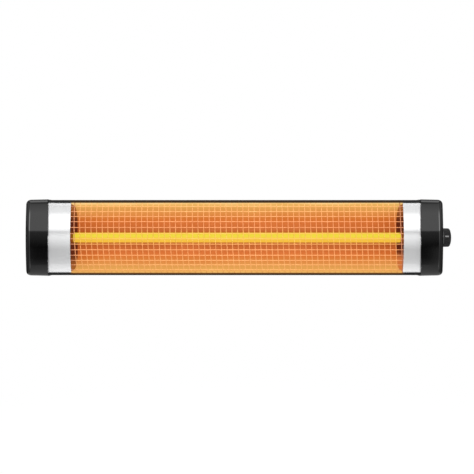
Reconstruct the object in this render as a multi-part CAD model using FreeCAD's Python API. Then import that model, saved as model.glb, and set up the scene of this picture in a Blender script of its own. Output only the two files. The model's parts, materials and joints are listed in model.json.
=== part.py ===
import FreeCAD
import Part
import math
import os

# Wall-hung infrared heater: an extruded housing with a polished trough, one glowing quartz tube behind a
# bowed wire grille, bright fascia plates, moulded end caps, a rotary power regulator and a tilting bracket.
#
# Frame: X runs along the heater, Y from the front towards the wall, Z up. The wall is the plane Y = 0.
# Most places are given as (x, depth, z), where depth is counted back from the foremost line of the fascia.

Vector = FreeCAD.Vector
X_AXIS = Vector(1, 0, 0)
Y_AXIS = Vector(0, 1, 0)
Z_AXIS = Vector(0, 0, 1)

# Housing, all sizes in millimetres
HEATER_LENGTH = 936.0
HOUSING_HEIGHT = 168.0
HOUSING_WALL = 1.8
HOUSING_CORNER = 7.0
HOUSING_BACK_ROUND = 40.0
LIP_HEIGHT = 5.8
RIB_THICKNESS = 1.8
RIB_REACH = 5.0
WIRING_SPACE = 16.4
VENT_LENGTH = 34.0
VENT_HEIGHT = 4.5
VENT_PITCH = 48.0
VENT_ROW_SPACING = 58.0
VENT_END_MARGIN = 70.0

# Fascia plates
FASCIA_RADIUS = 275.0
FASCIA_THICKNESS = 1.0
FASCIA_LAP = 1.0
FASCIA_LEFT_SHOWN = 48.9
FASCIA_RIGHT_SHOWN = 37.4
SLIDE_CLEARANCE = 0.2

# Grille
WIRE_SIZE = 1.6
CROSS_WIRE_PITCH = 12.5
CROSS_WIRE_END_GAP = 3.0
CROSS_WIRE_RUNS = 4
LONG_WIRE_PITCH = 11.95
LONG_WIRE_COUNT = 13
LONG_WIRE_TUCK = 8.0
GRILLE_SHIFT = 1.8

# Reflector trough
REFLECTOR_SHEET = 0.8
REFLECTOR_DEPTH = 76.0
REFLECTOR_FLANGE_SHOWN = 3.2
REFLECTOR_FLANGE_END_GAP = 1.2
REFLECTOR_FLANGE_REST = 0.3
REFLECTOR_LEAN = 6.0
REFLECTOR_ROUND = 38.0
REFLECTOR_BEND = 1.5
END_PLATE_SHEET = 1.0
END_PLATE_INSET = 0.3
END_PLATE_GAP = 0.25

# Heating tube and its ceramic ends
TUBE_DIAMETER = 22.0
TUBE_WALL = 1.5
TUBE_DEPTH = 40.0
TUBE_TAIL = 12.0
TUBE_HOLE_CLEARANCE = 0.5
TUBE_SOCKET_CLEARANCE = 0.15
RIBBON_WIDTH = 9.0
RIBBON_THICKNESS = 0.8
CERAMIC_WALL = 2.4
CERAMIC_RIM = 3.0
CERAMIC_FLANGE_THICKNESS = 5.0
CERAMIC_LENGTH = 30.0
RETAINER_SHEET = 1.5
RETAINER_MARGIN = 4.5
RETAINER_FOOT = 12.0
RETAINER_CLEARANCE = 0.2

# End caps
CAP_WIDTH = 55.5
CAP_LAP = 17.5
CAP_SKIRT = 1.6
CAP_WALL = 2.8
CAP_END_WALL = 3.0
CAP_CLEARANCE = 0.2
CAP_INNER_BEVEL = 4.5
CAP_END_BEVEL = 8.0
CAP_CORNER_MARGIN = 3.5

# Power regulator and knob
REGULATOR_DEPTH = 47.0
REGULATOR_SIZE = 36.0
REGULATOR_LENGTH = 26.0
SHAFT_DIAMETER = 6.0
SHAFT_FLAT = 1.2
SHAFT_CLEARANCE = 0.06
SHAFT_TAIL = 19.0
SHAFT_COVER = 2.2
BUSHING_WALL = 1.8
BUSHING_PROUD = 2.6
REGULATOR_NUT_THICKNESS = 3.0
TAB_WIDTH = 6.3
TAB_THICKNESS = 0.8
TAB_LENGTH = 10.0
TAB_SPACING = 12.0
KNOB_DIAMETER = 42.0
KNOB_LENGTH = 19.0
KNOB_GAP = 0.8
KNOB_COLLAR = 2.4
KNOB_EDGE_BEVEL = 2.5
KNOB_RECESS_GAP = 2.5
KNOB_FLUTES = 20
KNOB_FLUTE_DEPTH = 0.8
KNOB_POINTER_WIDTH = 2.0
KNOB_POINTER_DEPTH = 1.0
KNOB_FIT = 0.05

# Mains inlet and wiring
GLAND_FROM_END = 26.0
GLAND_Z = -24.0
GLAND_BORE = 8.0
GLAND_WALL = 4.0
GLAND_RIM = 2.5
GLAND_HEAD_LENGTH = 12.0
GLAND_TAIL = 8.0
BLOCK_SETBACK = 4.0
BLOCK_LENGTH = 22.0
BLOCK_HEIGHT = 32.0
BLOCK_DEPTH = 16.0
BLOCK_Z = -24.0
BLOCK_WAYS = 3
BLOCK_BORE = 5.0
CLAMP_WALL = 1.0
LEAD_SIZE = 2.6
LEAD_EXIT = 12.0
LEAD_GRIP = 5.0
CLIP_SPACING = 240.0
CLIP_WIDTH = 8.0
CLIP_WALL = 1.5
STUD_ACROSS = 7.0
STUD_LENGTH = 9.0

# Tilting wall bracket
HINGE_STANDOFF = 34.0
HINGE_TO_WALL = 30.0
HINGE_SHEET = 2.5
HINGE_WIDTH = 116.0
HINGE_HEIGHT = 44.0
BRACKET_SHEET = 3.0
BRACKET_HEIGHT = 70.0
BRACKET_BEND = 3.0
EAR_END = 22.0
EAR_SHOULDER = 6.0
WASHER_THICKNESS = 1.0
WASHER_DIAMETER = 18.0
WASHER_GAP = 0.1
TILT_BOLT = 6.0
TILT_BOLT_CLEARANCE = 0.06
TILT_BOLT_TAIL = 3.0
TILT_HEAD_ACROSS = 10.0
TILT_HEAD_HEIGHT = 4.0
TILT_NUT_HEIGHT = 5.0
WALL_HOLE = 6.5
WALL_HOLE_SPACING_X = 80.0
WALL_HOLE_SPACING_Z = 40.0

# The gap left between pieces that are welded or pressed together
SNUG_GAP = 0.05

# How far a cutting tool runs past the face that it cuts
OVERRUN = 1.0

# The way that a swept section turns a corner
MITRED = 1

# Places and sizes worked out from those above
HOUSING_DEPTH = REFLECTOR_DEPTH + REFLECTOR_SHEET + WIRING_SPACE + HOUSING_WALL
INNER_BACK = HOUSING_DEPTH - HOUSING_WALL
INNER_TOP = HOUSING_HEIGHT / 2 - HOUSING_WALL
OPENING_TOP = HOUSING_HEIGHT / 2 - LIP_HEIGHT
HINGE_DEPTH = HOUSING_DEPTH + HINGE_STANDOFF
WALL_DEPTH = HINGE_DEPTH + HINGE_TO_WALL
LIP_RADIUS = FASCIA_RADIUS + SLIDE_CLEARANCE + HOUSING_WALL
CAP_OFFSET = CAP_SKIRT + CAP_CLEARANCE
CAP_CORNER = CAP_END_BEVEL + CAP_CORNER_MARGIN
CAP_BACK = HOUSING_DEPTH + CAP_OFFSET
CAP_END_X = HEATER_LENGTH / 2
CAP_RIM_X = CAP_END_X - CAP_WIDTH
HOUSING_END_X = CAP_RIM_X + CAP_LAP
OPENING_LEFT = -CAP_RIM_X + FASCIA_LEFT_SHOWN
OPENING_RIGHT = CAP_RIM_X - FASCIA_RIGHT_SHOWN
OPENING_MIDDLE = (OPENING_LEFT + OPENING_RIGHT) / 2
PLATE_LEFT = OPENING_LEFT + END_PLATE_INSET
PLATE_RIGHT = OPENING_RIGHT - END_PLATE_INSET
PLATE_BACK = PLATE_RIGHT + END_PLATE_SHEET
LONG_WIRE_RADIUS = FASCIA_RADIUS - FASCIA_THICKNESS - SLIDE_CLEARANCE - WIRE_SIZE / 2
CROSS_WIRE_RADIUS = LONG_WIRE_RADIUS - WIRE_SIZE - SNUG_GAP
CROSS_WIRE_EDGE = INNER_TOP - CROSS_WIRE_END_GAP
WIRE_BACK_RADIUS = CROSS_WIRE_RADIUS - WIRE_SIZE / 2
WIRE_END_DEPTH = FASCIA_RADIUS - math.sqrt(WIRE_BACK_RADIUS**2 - CROSS_WIRE_EDGE**2)
FLANGE_DEPTH = WIRE_END_DEPTH + REFLECTOR_FLANGE_REST
REFLECTOR_MOUTH = OPENING_TOP - REFLECTOR_FLANGE_SHOWN
SOCKET_DIAMETER = TUBE_DIAMETER + 2 * TUBE_SOCKET_CLEARANCE
CERAMIC_BODY = SOCKET_DIAMETER + 2 * CERAMIC_WALL
CERAMIC_FLANGE = CERAMIC_BODY + 2 * CERAMIC_RIM
SHAFT_BORE = SHAFT_DIAMETER + 2 * SHAFT_CLEARANCE
BUSHING_DIAMETER = SHAFT_BORE + 2 * BUSHING_WALL
BUSHING_LENGTH = CAP_END_WALL + 2 * SLIDE_CLEARANCE + REGULATOR_NUT_THICKNESS + BUSHING_PROUD
GLAND_THREAD = GLAND_BORE + 2 * GLAND_WALL
GLAND_HEAD = GLAND_THREAD + 2 * GLAND_RIM
GLAND_X = CAP_END_X - GLAND_FROM_END
CAP_INNER_BACK = CAP_BACK - CAP_WALL
LEAD_DEPTH = INNER_BACK - WIRING_SPACE / 2
TILT_HOLE = TILT_BOLT + 2 * TILT_BOLT_CLEARANCE


def at(x, depth, z):
    """A point in the part's frame from its place along the heater, its depth and its height."""
    return Vector(x, depth - WALL_DEPTH, z)


def segment(start, end):
    """A straight edge."""
    return Part.LineSegment(start, end).toShape()


def bend(start, middle, end):
    """A round edge through three points."""
    return Part.Arc(start, middle, end).toShape()


def rounded_wire(corners, place):
    """A closed wire through corners (u, v, radius), laid out in space by place(u, v)."""
    stretches = []
    count = len(corners)
    for index, (u, v, radius) in enumerate(corners):
        here = Vector(u, v, 0)
        before = Vector(*corners[index - 1][:2], 0) - here
        after = Vector(*corners[(index + 1) % count][:2], 0) - here
        before.normalize()
        after.normalize()
        if radius == 0:
            stretches.append((here, None, here))
            continue
        half_angle = before.getAngle(after) / 2
        inwards = before + after
        inwards.normalize()
        reach = radius / math.tan(half_angle)
        crown = here + inwards * (radius / math.sin(half_angle) - radius)
        stretches.append((here + before * reach, crown, here + after * reach))
    edges = []
    for index, (start, crown, end) in enumerate(stretches):
        if crown is not None:
            edges.append(bend(*[place(p.x, p.y) for p in (start, crown, end)]))
        following = stretches[(index + 1) % count][0]
        if (following - end).Length > 1e-6:
            edges.append(segment(place(end.x, end.y), place(following.x, following.y)))
    return Part.Wire(edges)


def prism(wire, direction):
    """A solid drawn from a closed flat wire along a vector."""
    return Part.Face(wire).extrude(direction)


def rod(diameter, start, length, axis):
    """A round bar from a point along an axis."""
    return Part.makeCylinder(diameter / 2, length, start, axis)


def drill(diameter, start, length, axis):
    """A round cutter that runs past both ends of the hole it makes."""
    return rod(diameter, start - axis * OVERRUN, length + 2 * OVERRUN, axis)


def square_bar(size, start, length):
    """A square bar along X, about a line from start."""
    return Part.makeBox(length, size, size, start - (Y_AXIS + Z_AXIS) * (size / 2))


def hexagon(across, thickness, bore, start, axis):
    """A hexagon nut with a plain bore, its faces square to the axis."""
    side = across / math.sqrt(3)
    aside = Z_AXIS
    other = axis.cross(aside)
    corners = []
    for step in range(7):
        angle = math.radians(60 * step)
        corners.append(start + aside * (side * math.cos(angle)) + other * (side * math.sin(angle)))
    nut = prism(Part.makePolygon(corners), axis * thickness)
    if bore:
        nut = nut.cut(drill(bore, start, thickness, axis))
    return nut


def mirrored(shape):
    """The same piece for the other end of the heater."""
    return shape.mirror(Vector(0, 0, 0), X_AXIS)


def section(offset, corner, x):
    """The heater's cross-section at x, grown outwards by offset, its front corners rounded by corner."""
    front = LIP_RADIUS + offset
    top = HOUSING_HEIGHT / 2 + offset
    back = HOUSING_DEPTH + offset
    back_round = HOUSING_BACK_ROUND + offset
    corner_z = top - corner
    corner_depth = FASCIA_RADIUS - math.sqrt((front - corner) ** 2 - corner_z**2)
    away = Vector(corner_depth - FASCIA_RADIUS, corner_z, 0) / (front - corner)
    touch = Vector(FASCIA_RADIUS, 0, 0) + away * front
    halfway = away + Vector(0, 1, 0)
    halfway.normalize()
    crown = Vector(corner_depth, corner_z, 0) + halfway * corner
    back_centre = Vector(back - back_round, top - back_round, 0)
    back_crown = back_centre + Vector(1, 1, 0) * (back_round / math.sqrt(2))

    def up(point):
        return at(x, point.x, point.y)

    def down(point):
        return at(x, point.x, -point.y)

    corner_end = Vector(corner_depth, top, 0)
    back_start = Vector(back_centre.x, top, 0)
    back_end = Vector(back, back_centre.y, 0)
    edges = [bend(down(touch), at(x, FASCIA_RADIUS - front, 0), up(touch))]
    edges += [bend(up(touch), up(crown), up(corner_end)), segment(up(corner_end), up(back_start))]
    edges += [bend(up(back_start), up(back_crown), up(back_end)), segment(up(back_end), down(back_end))]
    edges += [bend(down(back_end), down(back_crown), down(back_start))]
    edges += [segment(down(back_start), down(corner_end)), bend(down(corner_end), down(crown), down(touch))]
    return Part.Wire(edges)


def front_arc(radius, half_height, x):
    """A round edge about the fascia's own centre line, from its lower to its upper end."""
    depth = FASCIA_RADIUS - math.sqrt(radius**2 - half_height**2)
    return bend(at(x, depth, -half_height), at(x, FASCIA_RADIUS - radius, 0), at(x, depth, half_height))


def bowed_sheet(outer_radius, inner_radius, half_height, x, width):
    """A sheet that follows the bowed front, from x over the given width."""
    outer = front_arc(outer_radius, half_height, x)
    inner = front_arc(inner_radius, half_height, x)
    low = segment(inner.Vertexes[0].Point, outer.Vertexes[0].Point)
    high = segment(outer.Vertexes[-1].Point, inner.Vertexes[-1].Point)
    return prism(Part.Wire([outer, high, inner, low]), X_AXIS * width)


def vent_places():
    """The middle of each vent slot along the back, clear of the hinge bracket and the ends."""
    reach = HOUSING_END_X - VENT_END_MARGIN
    count = int(reach // VENT_PITCH)
    places = [VENT_PITCH * step for step in range(-count, count + 1)]
    return [x for x in places if abs(x) > (HINGE_WIDTH + VENT_LENGTH) / 2]


def housing_shell():
    """The extruded housing: lips at the front, ribs behind the reflector's flanges, vents in the back."""
    start = -HOUSING_END_X
    length = 2 * HOUSING_END_X
    shell = prism(section(0, HOUSING_CORNER, start), X_AXIS * length)
    hollow = prism(section(-HOUSING_WALL, HOUSING_CORNER - HOUSING_WALL, start), X_AXIS * length)
    mouth_corner = at(start, -FLANGE_DEPTH, -OPENING_TOP)
    mouth = Part.makeBox(length, 2 * FLANGE_DEPTH, 2 * OPENING_TOP, mouth_corner)
    shell = shell.cut(hollow).cut(mouth)
    rib_depth = FLANGE_DEPTH + REFLECTOR_SHEET + SLIDE_CLEARANCE
    root = HOUSING_WALL / 2
    for low in (INNER_TOP - RIB_REACH, -INNER_TOP - root):
        shell = shell.fuse(Part.makeBox(length, RIB_THICKNESS, RIB_REACH + root, at(start, rib_depth, low)))
    cuts = []
    for x in vent_places():
        for z in (-VENT_ROW_SPACING / 2, VENT_ROW_SPACING / 2):
            corner = at(x - VENT_LENGTH / 2, INNER_BACK - OVERRUN, z - VENT_HEIGHT / 2)
            cuts.append(Part.makeBox(VENT_LENGTH, HOUSING_WALL + 2 * OVERRUN, VENT_HEIGHT, corner))
    return shell.cut(Part.makeCompound(cuts)).removeSplitter()


def fascia(start, end):
    """A bright bowed plate between two places along the heater, tucked under both lips."""
    edge = OPENING_TOP + FASCIA_LAP
    return bowed_sheet(FASCIA_RADIUS, FASCIA_RADIUS - FASCIA_THICKNESS, edge, start, end - start)


def cross_wire_places():
    """The middle of each cross wire, evenly about the middle of the opening."""
    room = OPENING_RIGHT - OPENING_LEFT - CROSS_WIRE_PITCH
    half_count = int(room / 2 // CROSS_WIRE_PITCH)
    middle = OPENING_MIDDLE + GRILLE_SHIFT
    return [middle + CROSS_WIRE_PITCH * step for step in range(-half_count, half_count + 1)]


def on_bow(radius, angle, x):
    """A point on an arc about the fascia's centre line, at an angle up from the middle."""
    return at(x, FASCIA_RADIUS - radius * math.cos(angle), radius * math.sin(angle))


def grille_cross_wires():
    """The bowed wires that run up and down, each made of a few straight runs to keep its faces few."""
    reach = math.asin(CROSS_WIRE_EDGE / WIRE_BACK_RADIUS)
    angles = [reach * (2 * step / CROSS_WIRE_RUNS - 1) for step in range(CROSS_WIRE_RUNS + 1)]
    wires = []
    for x in cross_wire_places():
        start = x - WIRE_SIZE / 2
        corners = [on_bow(WIRE_BACK_RADIUS + WIRE_SIZE, angle, start) for angle in angles]
        corners += [on_bow(WIRE_BACK_RADIUS, angle, start) for angle in reversed(angles)]
        wires.append(prism(Part.makePolygon(corners + corners[:1]), X_AXIS * WIRE_SIZE))
    return Part.makeCompound(wires)


def grille_long_wires():
    """The straight wires along the heater, spread over the bow in front of the cross wires."""
    start = OPENING_LEFT - LONG_WIRE_TUCK
    length = OPENING_RIGHT - OPENING_LEFT + 2 * LONG_WIRE_TUCK
    outer = LONG_WIRE_RADIUS + WIRE_SIZE / 2
    inner = LONG_WIRE_RADIUS - WIRE_SIZE / 2
    half_width = WIRE_SIZE / 2 / LONG_WIRE_RADIUS
    wires = []
    for step in range(LONG_WIRE_COUNT):
        middle = (step - (LONG_WIRE_COUNT - 1) / 2) * LONG_WIRE_PITCH / LONG_WIRE_RADIUS
        low = middle - half_width
        high = middle + half_width
        turns = [(outer, low), (outer, high), (inner, high), (inner, low), (outer, low)]
        corners = [on_bow(radius, angle, start) for radius, angle in turns]
        wires.append(prism(Part.makePolygon(corners), X_AXIS * length))
    return Part.makeCompound(wires)


def trough_side(depth):
    """Height of the trough's visible side wall at a depth, before its back corner is rounded."""
    return REFLECTOR_MOUTH - (depth - FLANGE_DEPTH) * math.tan(math.radians(REFLECTOR_LEAN))


def reflector():
    """The bent trough: a flange behind each lip, leaning sides, large back corners and a flat back."""
    sheet = REFLECTOR_SHEET
    wall_step = sheet / math.cos(math.radians(REFLECTOR_LEAN))
    flange_edge = INNER_TOP - REFLECTOR_FLANGE_END_GAP
    front = FLANGE_DEPTH
    behind = FLANGE_DEPTH + sheet
    back = REFLECTOR_DEPTH
    outer_back = REFLECTOR_DEPTH + sheet
    inside = [(front, flange_edge, 0), (front, REFLECTOR_MOUTH, REFLECTOR_BEND + sheet)]
    inside += [(back, trough_side(back), REFLECTOR_ROUND)]
    outside = [(outer_back, trough_side(outer_back) + wall_step, REFLECTOR_ROUND + sheet)]
    outside += [(behind, trough_side(behind) + wall_step, REFLECTOR_BEND), (behind, flange_edge, 0)]
    lower_inside = [(d, -z, r) for d, z, r in reversed(inside)]
    lower_outside = [(d, -z, r) for d, z, r in reversed(outside)]
    corners = inside + lower_inside + lower_outside + outside
    start = PLATE_LEFT - END_PLATE_SHEET - END_PLATE_GAP
    end = PLATE_BACK + END_PLATE_GAP
    wire = rounded_wire(corners, lambda depth, z: at(start, depth, z))
    return prism(wire, X_AXIS * (end - start))


def reflector_end_right():
    """The dark plate that closes the trough's right end, with the tube's hole."""
    x = PLATE_RIGHT
    gap = END_PLATE_GAP
    back = REFLECTOR_DEPTH - gap
    corners = [(0, trough_side(0) - gap, 0), (back, trough_side(back) - gap, REFLECTOR_ROUND - gap)]
    corners += [(d, -z, r) for d, z, r in reversed(corners)]
    plate = prism(rounded_wire(corners, lambda depth, z: at(x, depth, z)), X_AXIS * END_PLATE_SHEET)
    front_diameter = 2 * (WIRE_BACK_RADIUS - gap)
    plate = plate.common(rod(front_diameter, at(x, FASCIA_RADIUS, 0), END_PLATE_SHEET, X_AXIS))
    hole = drill(TUBE_DIAMETER + 2 * TUBE_HOLE_CLEARANCE, at(x, TUBE_DEPTH, 0), END_PLATE_SHEET, X_AXIS)
    return plate.cut(hole)


def tube_ends():
    """Where the glass tube starts and ends along X."""
    return PLATE_LEFT - END_PLATE_SHEET - TUBE_TAIL, PLATE_BACK + TUBE_TAIL


def quartz_tube():
    start, end = tube_ends()
    place = at(start, TUBE_DEPTH, 0)
    outer = rod(TUBE_DIAMETER, place, end - start, X_AXIS)
    return outer.cut(drill(TUBE_DIAMETER - 2 * TUBE_WALL, place, end - start, X_AXIS))


def heating_ribbon():
    """The glowing strip inside the tube, with a square tail through each ceramic end."""
    start, end = tube_ends()
    corner = at(start, TUBE_DEPTH - RIBBON_THICKNESS / 2, -RIBBON_WIDTH / 2)
    strip = Part.makeBox(end - start, RIBBON_THICKNESS, RIBBON_WIDTH, corner)
    left_tail = square_bar(LEAD_SIZE, at(ceramic_end_left(), TUBE_DEPTH, 0), start - ceramic_end_left())
    right_tail = square_bar(LEAD_SIZE, at(end, TUBE_DEPTH, 0), ceramic_end_right() - end)
    return strip.fuse([left_tail, right_tail]).removeSplitter()


def ceramic_seat():
    """The ceramic's place against the outside of the right end plate."""
    return PLATE_BACK + SLIDE_CLEARANCE


def ceramic_end_right():
    return ceramic_seat() + CERAMIC_LENGTH


def ceramic_end_left():
    return PLATE_LEFT + PLATE_RIGHT - ceramic_end_right()


def tube_end_right():
    """The ceramic sleeve on the tube's right end, its square flange against the end plate."""
    seat = at(ceramic_seat(), TUBE_DEPTH, 0)
    body = rod(CERAMIC_BODY, seat, CERAMIC_LENGTH, X_AXIS)
    corner = seat - (Y_AXIS + Z_AXIS) * (CERAMIC_FLANGE / 2)
    body = body.fuse(Part.makeBox(CERAMIC_FLANGE_THICKNESS, CERAMIC_FLANGE, CERAMIC_FLANGE, corner))
    return body.cut(drill(SOCKET_DIAMETER, seat, CERAMIC_LENGTH, X_AXIS)).removeSplitter()


def tube_retainer_right():
    """The hat-shaped strap, welded to the end plate, that holds the ceramic's flange against it."""
    start = PLATE_BACK + SNUG_GAP
    rise = ceramic_seat() + CERAMIC_FLANGE_THICKNESS + RETAINER_CLEARANCE - start
    sheet = RETAINER_SHEET
    inner = CERAMIC_FLANGE / 2 + RETAINER_CLEARANCE
    foot_end = inner + sheet + RETAINER_FOOT
    below = [(0, foot_end, 0), (0, inner, 0), (rise, inner, 0)]
    above = [(rise + sheet, inner + sheet, 0), (sheet, inner + sheet, 0), (sheet, foot_end, 0)]
    corners = below + [(x, -z, r) for x, z, r in reversed(below)]
    corners += [(x, -z, r) for x, z, r in reversed(above)] + above
    hole = CERAMIC_BODY + 2 * RETAINER_CLEARANCE
    width = hole + 2 * RETAINER_MARGIN
    wire = rounded_wire(corners, lambda x, z: at(start + x, TUBE_DEPTH - width / 2, z))
    return prism(wire, Y_AXIS * width).cut(drill(hole, at(start + rise, TUBE_DEPTH, 0), sheet, X_AXIS))


def at_both_ends(shape):
    """A piece made for the right end plate, and the same piece turned round at the left one."""
    other = mirrored(shape)
    other.translate(X_AXIS * (PLATE_LEFT + PLATE_RIGHT))
    return Part.makeCompound([other, shape])


def end_cap_blank():
    """The right cap's moulding, before any hole is made in it."""
    outer = prism(section(CAP_OFFSET, CAP_CORNER, CAP_RIM_X), X_AXIS * CAP_WIDTH)
    outer = outer.makeChamfer(CAP_END_BEVEL, edges_at(outer, CAP_END_X))
    lap = prism(section(CAP_CLEARANCE, HOUSING_CORNER + CAP_CLEARANCE, CAP_RIM_X), X_AXIS * CAP_LAP)
    floor_x = CAP_END_X - CAP_END_WALL
    hollow_wire = section(CAP_OFFSET - CAP_WALL, CAP_CORNER - CAP_WALL, CAP_RIM_X)
    hollow = prism(hollow_wire, X_AXIS * (floor_x - CAP_RIM_X))
    hollow = hollow.makeChamfer(CAP_INNER_BEVEL, edges_at(hollow, floor_x))
    return outer.cut(lap).cut(hollow)


def edges_at(shape, x):
    """The edges of a shape that lie wholly in the plane at x."""
    return [e for e in shape.Edges if all(abs(v.X - x) < 1e-6 for v in e.Vertexes)]


def gland_at(depth):
    """A point on the cable gland's axis."""
    return at(GLAND_X, depth, GLAND_Z)


def end_cap_right():
    """The right cap, with holes for the regulator's bushing and the cable gland."""
    floor = at(CAP_END_X - CAP_END_WALL, REGULATOR_DEPTH, 0)
    bushing_hole = drill(BUSHING_DIAMETER + 2 * CAP_CLEARANCE, floor, CAP_END_WALL, X_AXIS)
    gland_length = CAP_BACK - CAP_INNER_BACK
    gland_hole = drill(GLAND_THREAD + 2 * CAP_CLEARANCE, gland_at(CAP_INNER_BACK), gland_length, Y_AXIS)
    return end_cap_blank().cut(bushing_hole).cut(gland_hole)


def regulator_face():
    """Where the regulator's body meets the inside of the right cap's end wall."""
    return CAP_END_X - CAP_END_WALL - SLIDE_CLEARANCE


def bushing_end():
    return regulator_face() + BUSHING_LENGTH


def regulator_body():
    """The regulator's case with its bushing, bored for the shaft."""
    half = REGULATOR_SIZE / 2
    corner = at(regulator_face() - REGULATOR_LENGTH, REGULATOR_DEPTH - half, -half)
    body = Part.makeBox(REGULATOR_LENGTH, REGULATOR_SIZE, REGULATOR_SIZE, corner)
    body = body.fuse(rod(BUSHING_DIAMETER, at(regulator_face(), REGULATOR_DEPTH, 0), BUSHING_LENGTH, X_AXIS))
    bore_start = regulator_face() - SHAFT_TAIL
    bore = rod(SHAFT_BORE, at(bore_start, REGULATOR_DEPTH, 0), bushing_end() - bore_start + OVERRUN, X_AXIS)
    return body.cut(bore).removeSplitter()


def shaft_flat(clearance, start, end):
    """The bar that cuts a shaft's flat, or keeps one in its bore."""
    low = SHAFT_DIAMETER / 2 - SHAFT_FLAT + clearance
    corner = at(start, REGULATOR_DEPTH + low, -SHAFT_DIAMETER)
    return Part.makeBox(end - start, SHAFT_DIAMETER, 2 * SHAFT_DIAMETER, corner)


def knob_base():
    return CAP_END_X + KNOB_GAP


def shaft_end():
    return knob_base() + KNOB_LENGTH - SHAFT_COVER


def regulator_shaft():
    start = regulator_face() - SHAFT_TAIL + SLIDE_CLEARANCE
    shaft = rod(SHAFT_DIAMETER, at(start, REGULATOR_DEPTH, 0), shaft_end() - start, X_AXIS)
    return shaft.cut(shaft_flat(0, bushing_end(), shaft_end() + OVERRUN))


def tab_heights():
    return (-TAB_SPACING, 0.0, TAB_SPACING)


def tab_end():
    return regulator_face() - REGULATOR_LENGTH - TAB_LENGTH


def regulator_terminals():
    low = REGULATOR_DEPTH - TAB_WIDTH / 2
    tabs = []
    for z in tab_heights():
        corner = at(tab_end(), low, z - TAB_THICKNESS / 2)
        tabs.append(Part.makeBox(TAB_LENGTH, TAB_WIDTH, TAB_THICKNESS, corner))
    return Part.makeCompound(tabs)


def knob_star(x, scale):
    """Corners of the knob's fluted outline at x: straight flanks between crests and roots."""
    corners = []
    for step in range(2 * KNOB_FLUTES + 1):
        radius = scale * (KNOB_DIAMETER / 2 - (KNOB_FLUTE_DEPTH if step % 2 else 0))
        angle = math.pi / KNOB_FLUTES * step
        corners.append(at(x, REGULATOR_DEPTH + radius * math.sin(angle), radius * math.cos(angle)))
    return corners


def knob_grip():
    """The fluted grip with its bevelled edge, closed from flat faces."""
    end = knob_base() + KNOB_LENGTH
    rings = [knob_star(knob_base(), 1), knob_star(end - KNOB_EDGE_BEVEL, 1)]
    rings.append(knob_star(end, 1 - 2 * KNOB_EDGE_BEVEL / KNOB_DIAMETER))
    outlines = [rings[0], rings[-1]]
    for ring, following in zip(rings, rings[1:]):
        for a, b, c, d in zip(ring, ring[1:], following[1:], following):
            outlines.append([a, b, c, d, a])
    faces = [Part.Face(Part.makePolygon(corners)) for corners in outlines]
    return Part.makeSolid(Part.makeShell(faces))


def control_knob():
    """The knob: a round collar, a fluted grip with a bevelled edge, a recess over the bushing and a bore."""
    base = knob_base()
    axis_point = at(base, REGULATOR_DEPTH, 0)
    end = base + KNOB_LENGTH
    knob = knob_grip().fuse(rod(KNOB_DIAMETER, axis_point, KNOB_COLLAR, X_AXIS))
    slot_corner = at(end - KNOB_POINTER_DEPTH, REGULATOR_DEPTH - KNOB_DIAMETER, -KNOB_POINTER_WIDTH / 2)
    slot = Part.makeBox(2 * KNOB_POINTER_DEPTH, KNOB_DIAMETER, KNOB_POINTER_WIDTH, slot_corner)
    recess_end = bushing_end() + SLIDE_CLEARANCE
    recess = rod(BUSHING_DIAMETER + 2 * KNOB_RECESS_GAP, axis_point, recess_end - base, X_AXIS)
    bore = rod(SHAFT_DIAMETER + 2 * KNOB_FIT, axis_point, shaft_end() + KNOB_FIT - base, X_AXIS)
    bore = bore.cut(shaft_flat(KNOB_FIT, base, shaft_end() + OVERRUN))
    return knob.cut(slot).cut(recess).cut(bore).removeSplitter()


def cable_gland():
    """The mains inlet: a hexagon head outside the cap, a threaded tail through its back and a plain bore."""
    seat = CAP_BACK + SNUG_GAP
    tail_start = CAP_INNER_BACK - GLAND_TAIL
    head = hexagon(GLAND_HEAD, GLAND_HEAD_LENGTH, 0, gland_at(seat), Y_AXIS)
    gland = head.fuse(rod(GLAND_THREAD, gland_at(tail_start), seat - tail_start, Y_AXIS))
    bore = drill(GLAND_BORE, gland_at(tail_start), seat + GLAND_HEAD_LENGTH - tail_start, Y_AXIS)
    return gland.cut(bore).removeSplitter()


def block_start():
    """Left face of the terminal block, beside the right end of the trough."""
    return PLATE_BACK + BLOCK_SETBACK


def block_ways():
    """Heights of the terminal block's ways."""
    pitch = BLOCK_HEIGHT / BLOCK_WAYS
    return [BLOCK_Z + pitch * (way - (BLOCK_WAYS - 1) / 2) for way in range(BLOCK_WAYS)]


def block_depth():
    """Depth of the terminal block's ways."""
    return INNER_BACK - SLIDE_CLEARANCE - BLOCK_DEPTH / 2


def terminal_block():
    corner = at(block_start(), block_depth() - BLOCK_DEPTH / 2, BLOCK_Z - BLOCK_HEIGHT / 2)
    block = Part.makeBox(BLOCK_LENGTH, BLOCK_DEPTH, BLOCK_HEIGHT, corner)
    places = [at(block_start(), block_depth(), z) for z in block_ways()]
    return block.cut(Part.makeCompound([square_bar(BLOCK_BORE, place, BLOCK_LENGTH) for place in places]))


def terminal_clamps():
    """The square brass sleeves that grip the wires in the terminal block."""
    outer = BLOCK_BORE - 2 * SNUG_GAP
    sleeves = []
    for z in block_ways():
        place = at(block_start(), block_depth(), z)
        sleeve = square_bar(outer, place, BLOCK_LENGTH)
        sleeves.append(sleeve.cut(square_bar(outer - 2 * CLAMP_WALL, place, BLOCK_LENGTH)))
    return Part.makeCompound(sleeves)


def lead(points, name):
    """A wire of square section that leaves along X, its turns mitred to keep its faces few."""
    path = Part.makePolygon(points)
    half = LEAD_SIZE / 2
    sides = [(-half, -half), (half, -half), (half, half), (-half, half), (-half, -half)]
    profile = Part.makePolygon([points[0] + Y_AXIS * across + Z_AXIS * up for across, up in sides])
    print(name, "has length", round(path.Length))
    return path.makePipeShell([profile], True, False, MITRED)


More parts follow.
